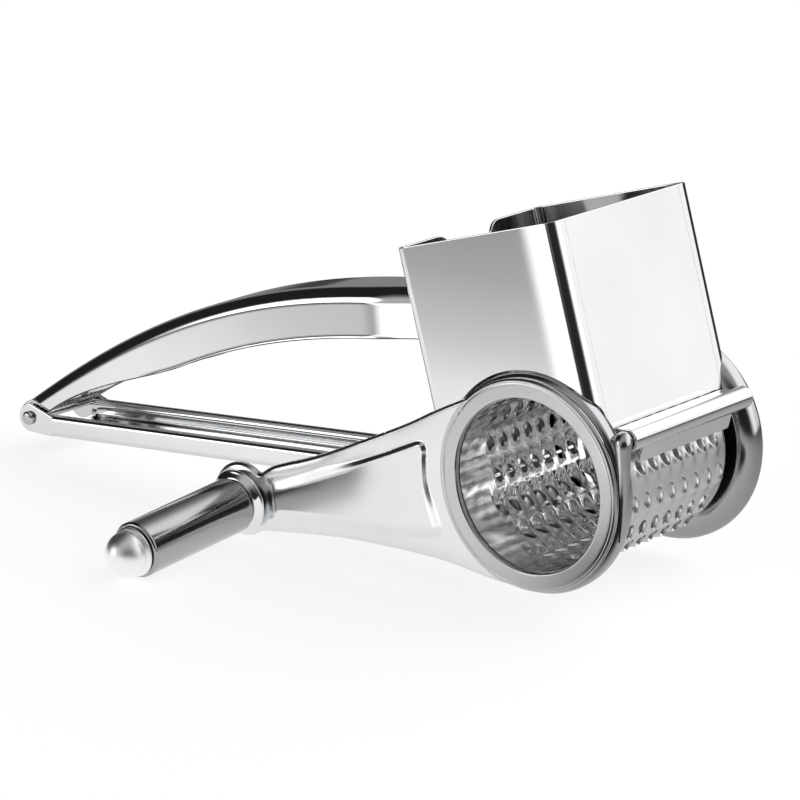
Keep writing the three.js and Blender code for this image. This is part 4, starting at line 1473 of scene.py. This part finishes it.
def studio_world():
    """Smooth panels of light all round, and plain white where the camera sees past the floor."""
    world = bpy.data.worlds.new("Studio")
    bpy.context.scene.world = world
    world.use_nodes = True
    tree = world.node_tree
    tree.nodes.clear()
    way = node(tree, "ShaderNodeTexCoord").outputs["Generated"]
    level = None
    for direction, inner, outer, value in STUDIO:
        toward = Vector(direction).normalized()
        dot = node(tree, "ShaderNodeVectorMath", {0: way, 1: toward}, operation="DOT_PRODUCT")
        share = node(tree, "ShaderNodeMapRange", {
            "Value": dot.outputs["Value"], "From Min": math.cos(math.radians(outer)),
            "From Max": math.cos(math.radians(inner)),
        }, interpolation_type="SMOOTHSTEP")
        level = node(tree, "ShaderNodeMix", {
            0: share.outputs[0], 2: level if level else STUDIO_BASE, 3: value,
        }, data_type="FLOAT").outputs[0]
    seen = node(tree, "ShaderNodeLightPath").outputs["Is Camera Ray"]
    shown = node(tree, "ShaderNodeMix", {0: seen, 2: level, 3: 1.0}, data_type="FLOAT")
    light = node(tree, "ShaderNodeBackground", {"Strength": shown.outputs[0]})
    node(tree, "ShaderNodeOutputWorld", {"Surface": light.outputs[0]})


# Painted light and shade that the steel sees in the card, in metres from the drum's axis: a painted pool of
# light as (distance, level), a painted shade patch before the crank, and a painted fan of light that the
# side wall's bow picks up.
POOL = ((0.0, 1.12), (0.06, 1.0), (0.1, 0.72), (0.17, 0.46), (0.32, 0.26), (0.6, 0.04))
POOL_PLACE, POOL_STRETCH = (0.12, 0.10, 0.0), (0.5, 1.0, 1.0)
SHADE_PLACE, SHADE_EDGE, SHADE_LEVEL = (0.035, -0.085, 0.0), (0.035, 0.07), 0.03
FAN_PLACE, FAN_WAY = (0.014, -0.027, 0.0), (-0.342, -0.94, 0.0)
FAN_EDGE, FAN_START, FAN_LEVEL = (0.94, 0.995), (0.1, 0.15), 1.5
CARD_COLOUR, CARD_GLOW = "#a8a8a8", 0.79

# The camera looks against this direction.
CAMERA_BACK = (0.6067, -0.7445, 0.2785)


def pool_light(tree, place):
    """Colour of the painted pool of light at the place."""
    shifted = node(tree, "ShaderNodeVectorMath", {0: place, 1: POOL_PLACE}, operation="ADD")
    pulled = node(tree, "ShaderNodeVectorMath", {0: shifted.outputs[0], 1: POOL_STRETCH},
                  operation="MULTIPLY")
    away = node(tree, "ShaderNodeVectorMath", {0: pulled.outputs[0]}, operation="LENGTH")
    pool = node(tree, "ShaderNodeValToRGB", {"Fac": away.outputs["Value"]})
    ramp = pool.color_ramp
    ramp.interpolation = "B_SPLINE"
    for spot, _ in POOL[2:]:
        ramp.elements.new(spot)
    for element, (spot, level) in zip(ramp.elements, POOL):
        element.position = spot
        element.color = (level, level, level, 1)
    return pool.outputs[0]


def fan_share(tree, place):
    """1 in the painted fan of light and 0 away from it."""
    from_wall = node(tree, "ShaderNodeVectorMath", {0: place, 1: FAN_PLACE}, operation="SUBTRACT")
    bearing = node(tree, "ShaderNodeVectorMath", {0: from_wall.outputs[0]}, operation="NORMALIZE")
    toward = node(tree, "ShaderNodeVectorMath", {0: bearing.outputs[0], 1: FAN_WAY},
                  operation="DOT_PRODUCT")
    away = node(tree, "ShaderNodeVectorMath", {0: from_wall.outputs[0]}, operation="LENGTH")
    shares = {}
    for which, value, (start, end) in ((0, toward, FAN_EDGE), (1, away, FAN_START)):
        shares[which] = node(tree, "ShaderNodeMapRange", {
            "Value": value.outputs["Value"], "From Min": start, "From Max": end,
        }, interpolation_type="SMOOTHSTEP").outputs[0]
    return node(tree, "ShaderNodeMath", shares, operation="MULTIPLY").outputs[0]


def floor_material():
    """Matt white card, plain to the camera; to the steel it shows painted light and shade: a pool of light,
    a fan of light and a shade patch.
    """
    material = bpy.data.materials.new("White_card")
    material.use_nodes = True
    tree = material.node_tree
    tree.nodes.clear()
    place = node(tree, "ShaderNodeTexCoord").outputs["Object"]
    card = node(tree, "ShaderNodeBsdfDiffuse", {"Color": colour(CARD_COLOUR)})
    glow = node(tree, "ShaderNodeEmission", {"Strength": CARD_GLOW})
    lit = node(tree, "ShaderNodeAddShader", {0: card.outputs[0], 1: glow.outputs[0]})
    # What the steel sees of the card is painted light: the pool and the fan of light.
    light = node(tree, "ShaderNodeMix", {
        0: fan_share(tree, place), 6: pool_light(tree, place), 7: (FAN_LEVEL, FAN_LEVEL, FAN_LEVEL, 1.0),
    }, data_type="RGBA")
    # Painted shade: a dark patch in what the steel sees of the card before the crank.
    aside = node(tree, "ShaderNodeVectorMath", {0: place, 1: SHADE_PLACE}, operation="DISTANCE")
    shade = node(tree, "ShaderNodeMapRange", {
        "Value": aside.outputs["Value"], "From Min": SHADE_EDGE[0], "From Max": SHADE_EDGE[1],
        "To Min": SHADE_LEVEL,
    }, interpolation_type="SMOOTHSTEP")
    mirrored = node(tree, "ShaderNodeEmission", {
        "Color": light.outputs[2], "Strength": shade.outputs[0],
    })
    seen = node(tree, "ShaderNodeLightPath").outputs["Is Camera Ray"]
    shader = node(tree, "ShaderNodeMixShader", {0: seen, 1: mirrored.outputs[0], 2: lit.outputs[0]})
    node(tree, "ShaderNodeOutputMaterial", {"Surface": shader.outputs[0]})
    return material


class GRATER_OT_stage(bpy.types.Operator):
    """Build the floor, the soft studio light and the camera"""

    bl_idname = "grater.stage"
    bl_label = "Stage"

    def execute(self, context):
        settings = context.scene.grater_stage
        half = settings.floor_half
        mesh = bpy.data.meshes.new("floor")
        corners = [(-half, -half, 0), (half, -half, 0), (half, half, 0), (-half, half, 0)]
        mesh.from_pydata(corners, [], [(0, 1, 2, 3)])
        floor = add_object("floor", mesh, floor_material())
        floor.location = (AXIS.x, AXIS.y, -0.0002)
        studio_world()
        lens = bpy.data.cameras.new("camera")
        lens.lens = settings.lens
        lens.sensor_width = 36
        lens.clip_start, lens.clip_end = 0.01, 20
        camera = bpy.data.objects.new("camera", lens)
        context.scene.collection.objects.link(camera)
        camera.rotation_mode = "QUATERNION"
        camera.rotation_quaternion = (-Vector(CAMERA_BACK)).to_track_quat("-Z", "Y")
        camera.location = AXIS + Vector(settings.camera_place)
        context.scene.camera = camera
        context.scene.view_settings.view_transform = "Standard"
        return {"FINISHED"}


# ---- add-on -------------------------------------------------------------------------------

STEPS = (
    GRATER_OT_hopper,
    GRATER_OT_cheeks,
    GRATER_OT_drum,
    GRATER_OT_crank,
    GRATER_OT_knob,
    GRATER_OT_upper_handle,
    GRATER_OT_lower_handle,
    GRATER_OT_presser,
    GRATER_OT_rivets,
    GRATER_OT_stage,
)


class GRATER_PT_panel(bpy.types.Panel):
    """Lists the settings and the steps of the grater"""

    bl_label = "Rotary grater"
    bl_space_type = "VIEW_3D"
    bl_region_type = "UI"
    bl_category = "Grater"

    def draw(self, context):
        for group in (context.scene.grater_sizes, context.scene.grater_finish, context.scene.grater_stage):
            for name in group.__annotations__:
                self.layout.prop(group, name)
        for step in STEPS:
            self.layout.operator(step.bl_idname)


GROUPS = {"grater_sizes": GraterSizes, "grater_finish": GraterFinish, "grater_stage": GraterStage}


def register():
    for name, group in GROUPS.items():
        bpy.utils.register_class(group)
        setattr(bpy.types.Scene, name, bpy.props.PointerProperty(type=group))
    for step in (*STEPS, GRATER_PT_panel):
        bpy.utils.register_class(step)


def unregister():
    for step in reversed((*STEPS, GRATER_PT_panel)):
        bpy.utils.unregister_class(step)
    for name, group in GROUPS.items():
        delattr(bpy.types.Scene, name)
        bpy.utils.unregister_class(group)


def main():
    register()
    for step in STEPS:
        family, name = step.bl_idname.split(".")
        getattr(getattr(bpy.ops, family), name)()


if __name__ == "__main__":
    main()
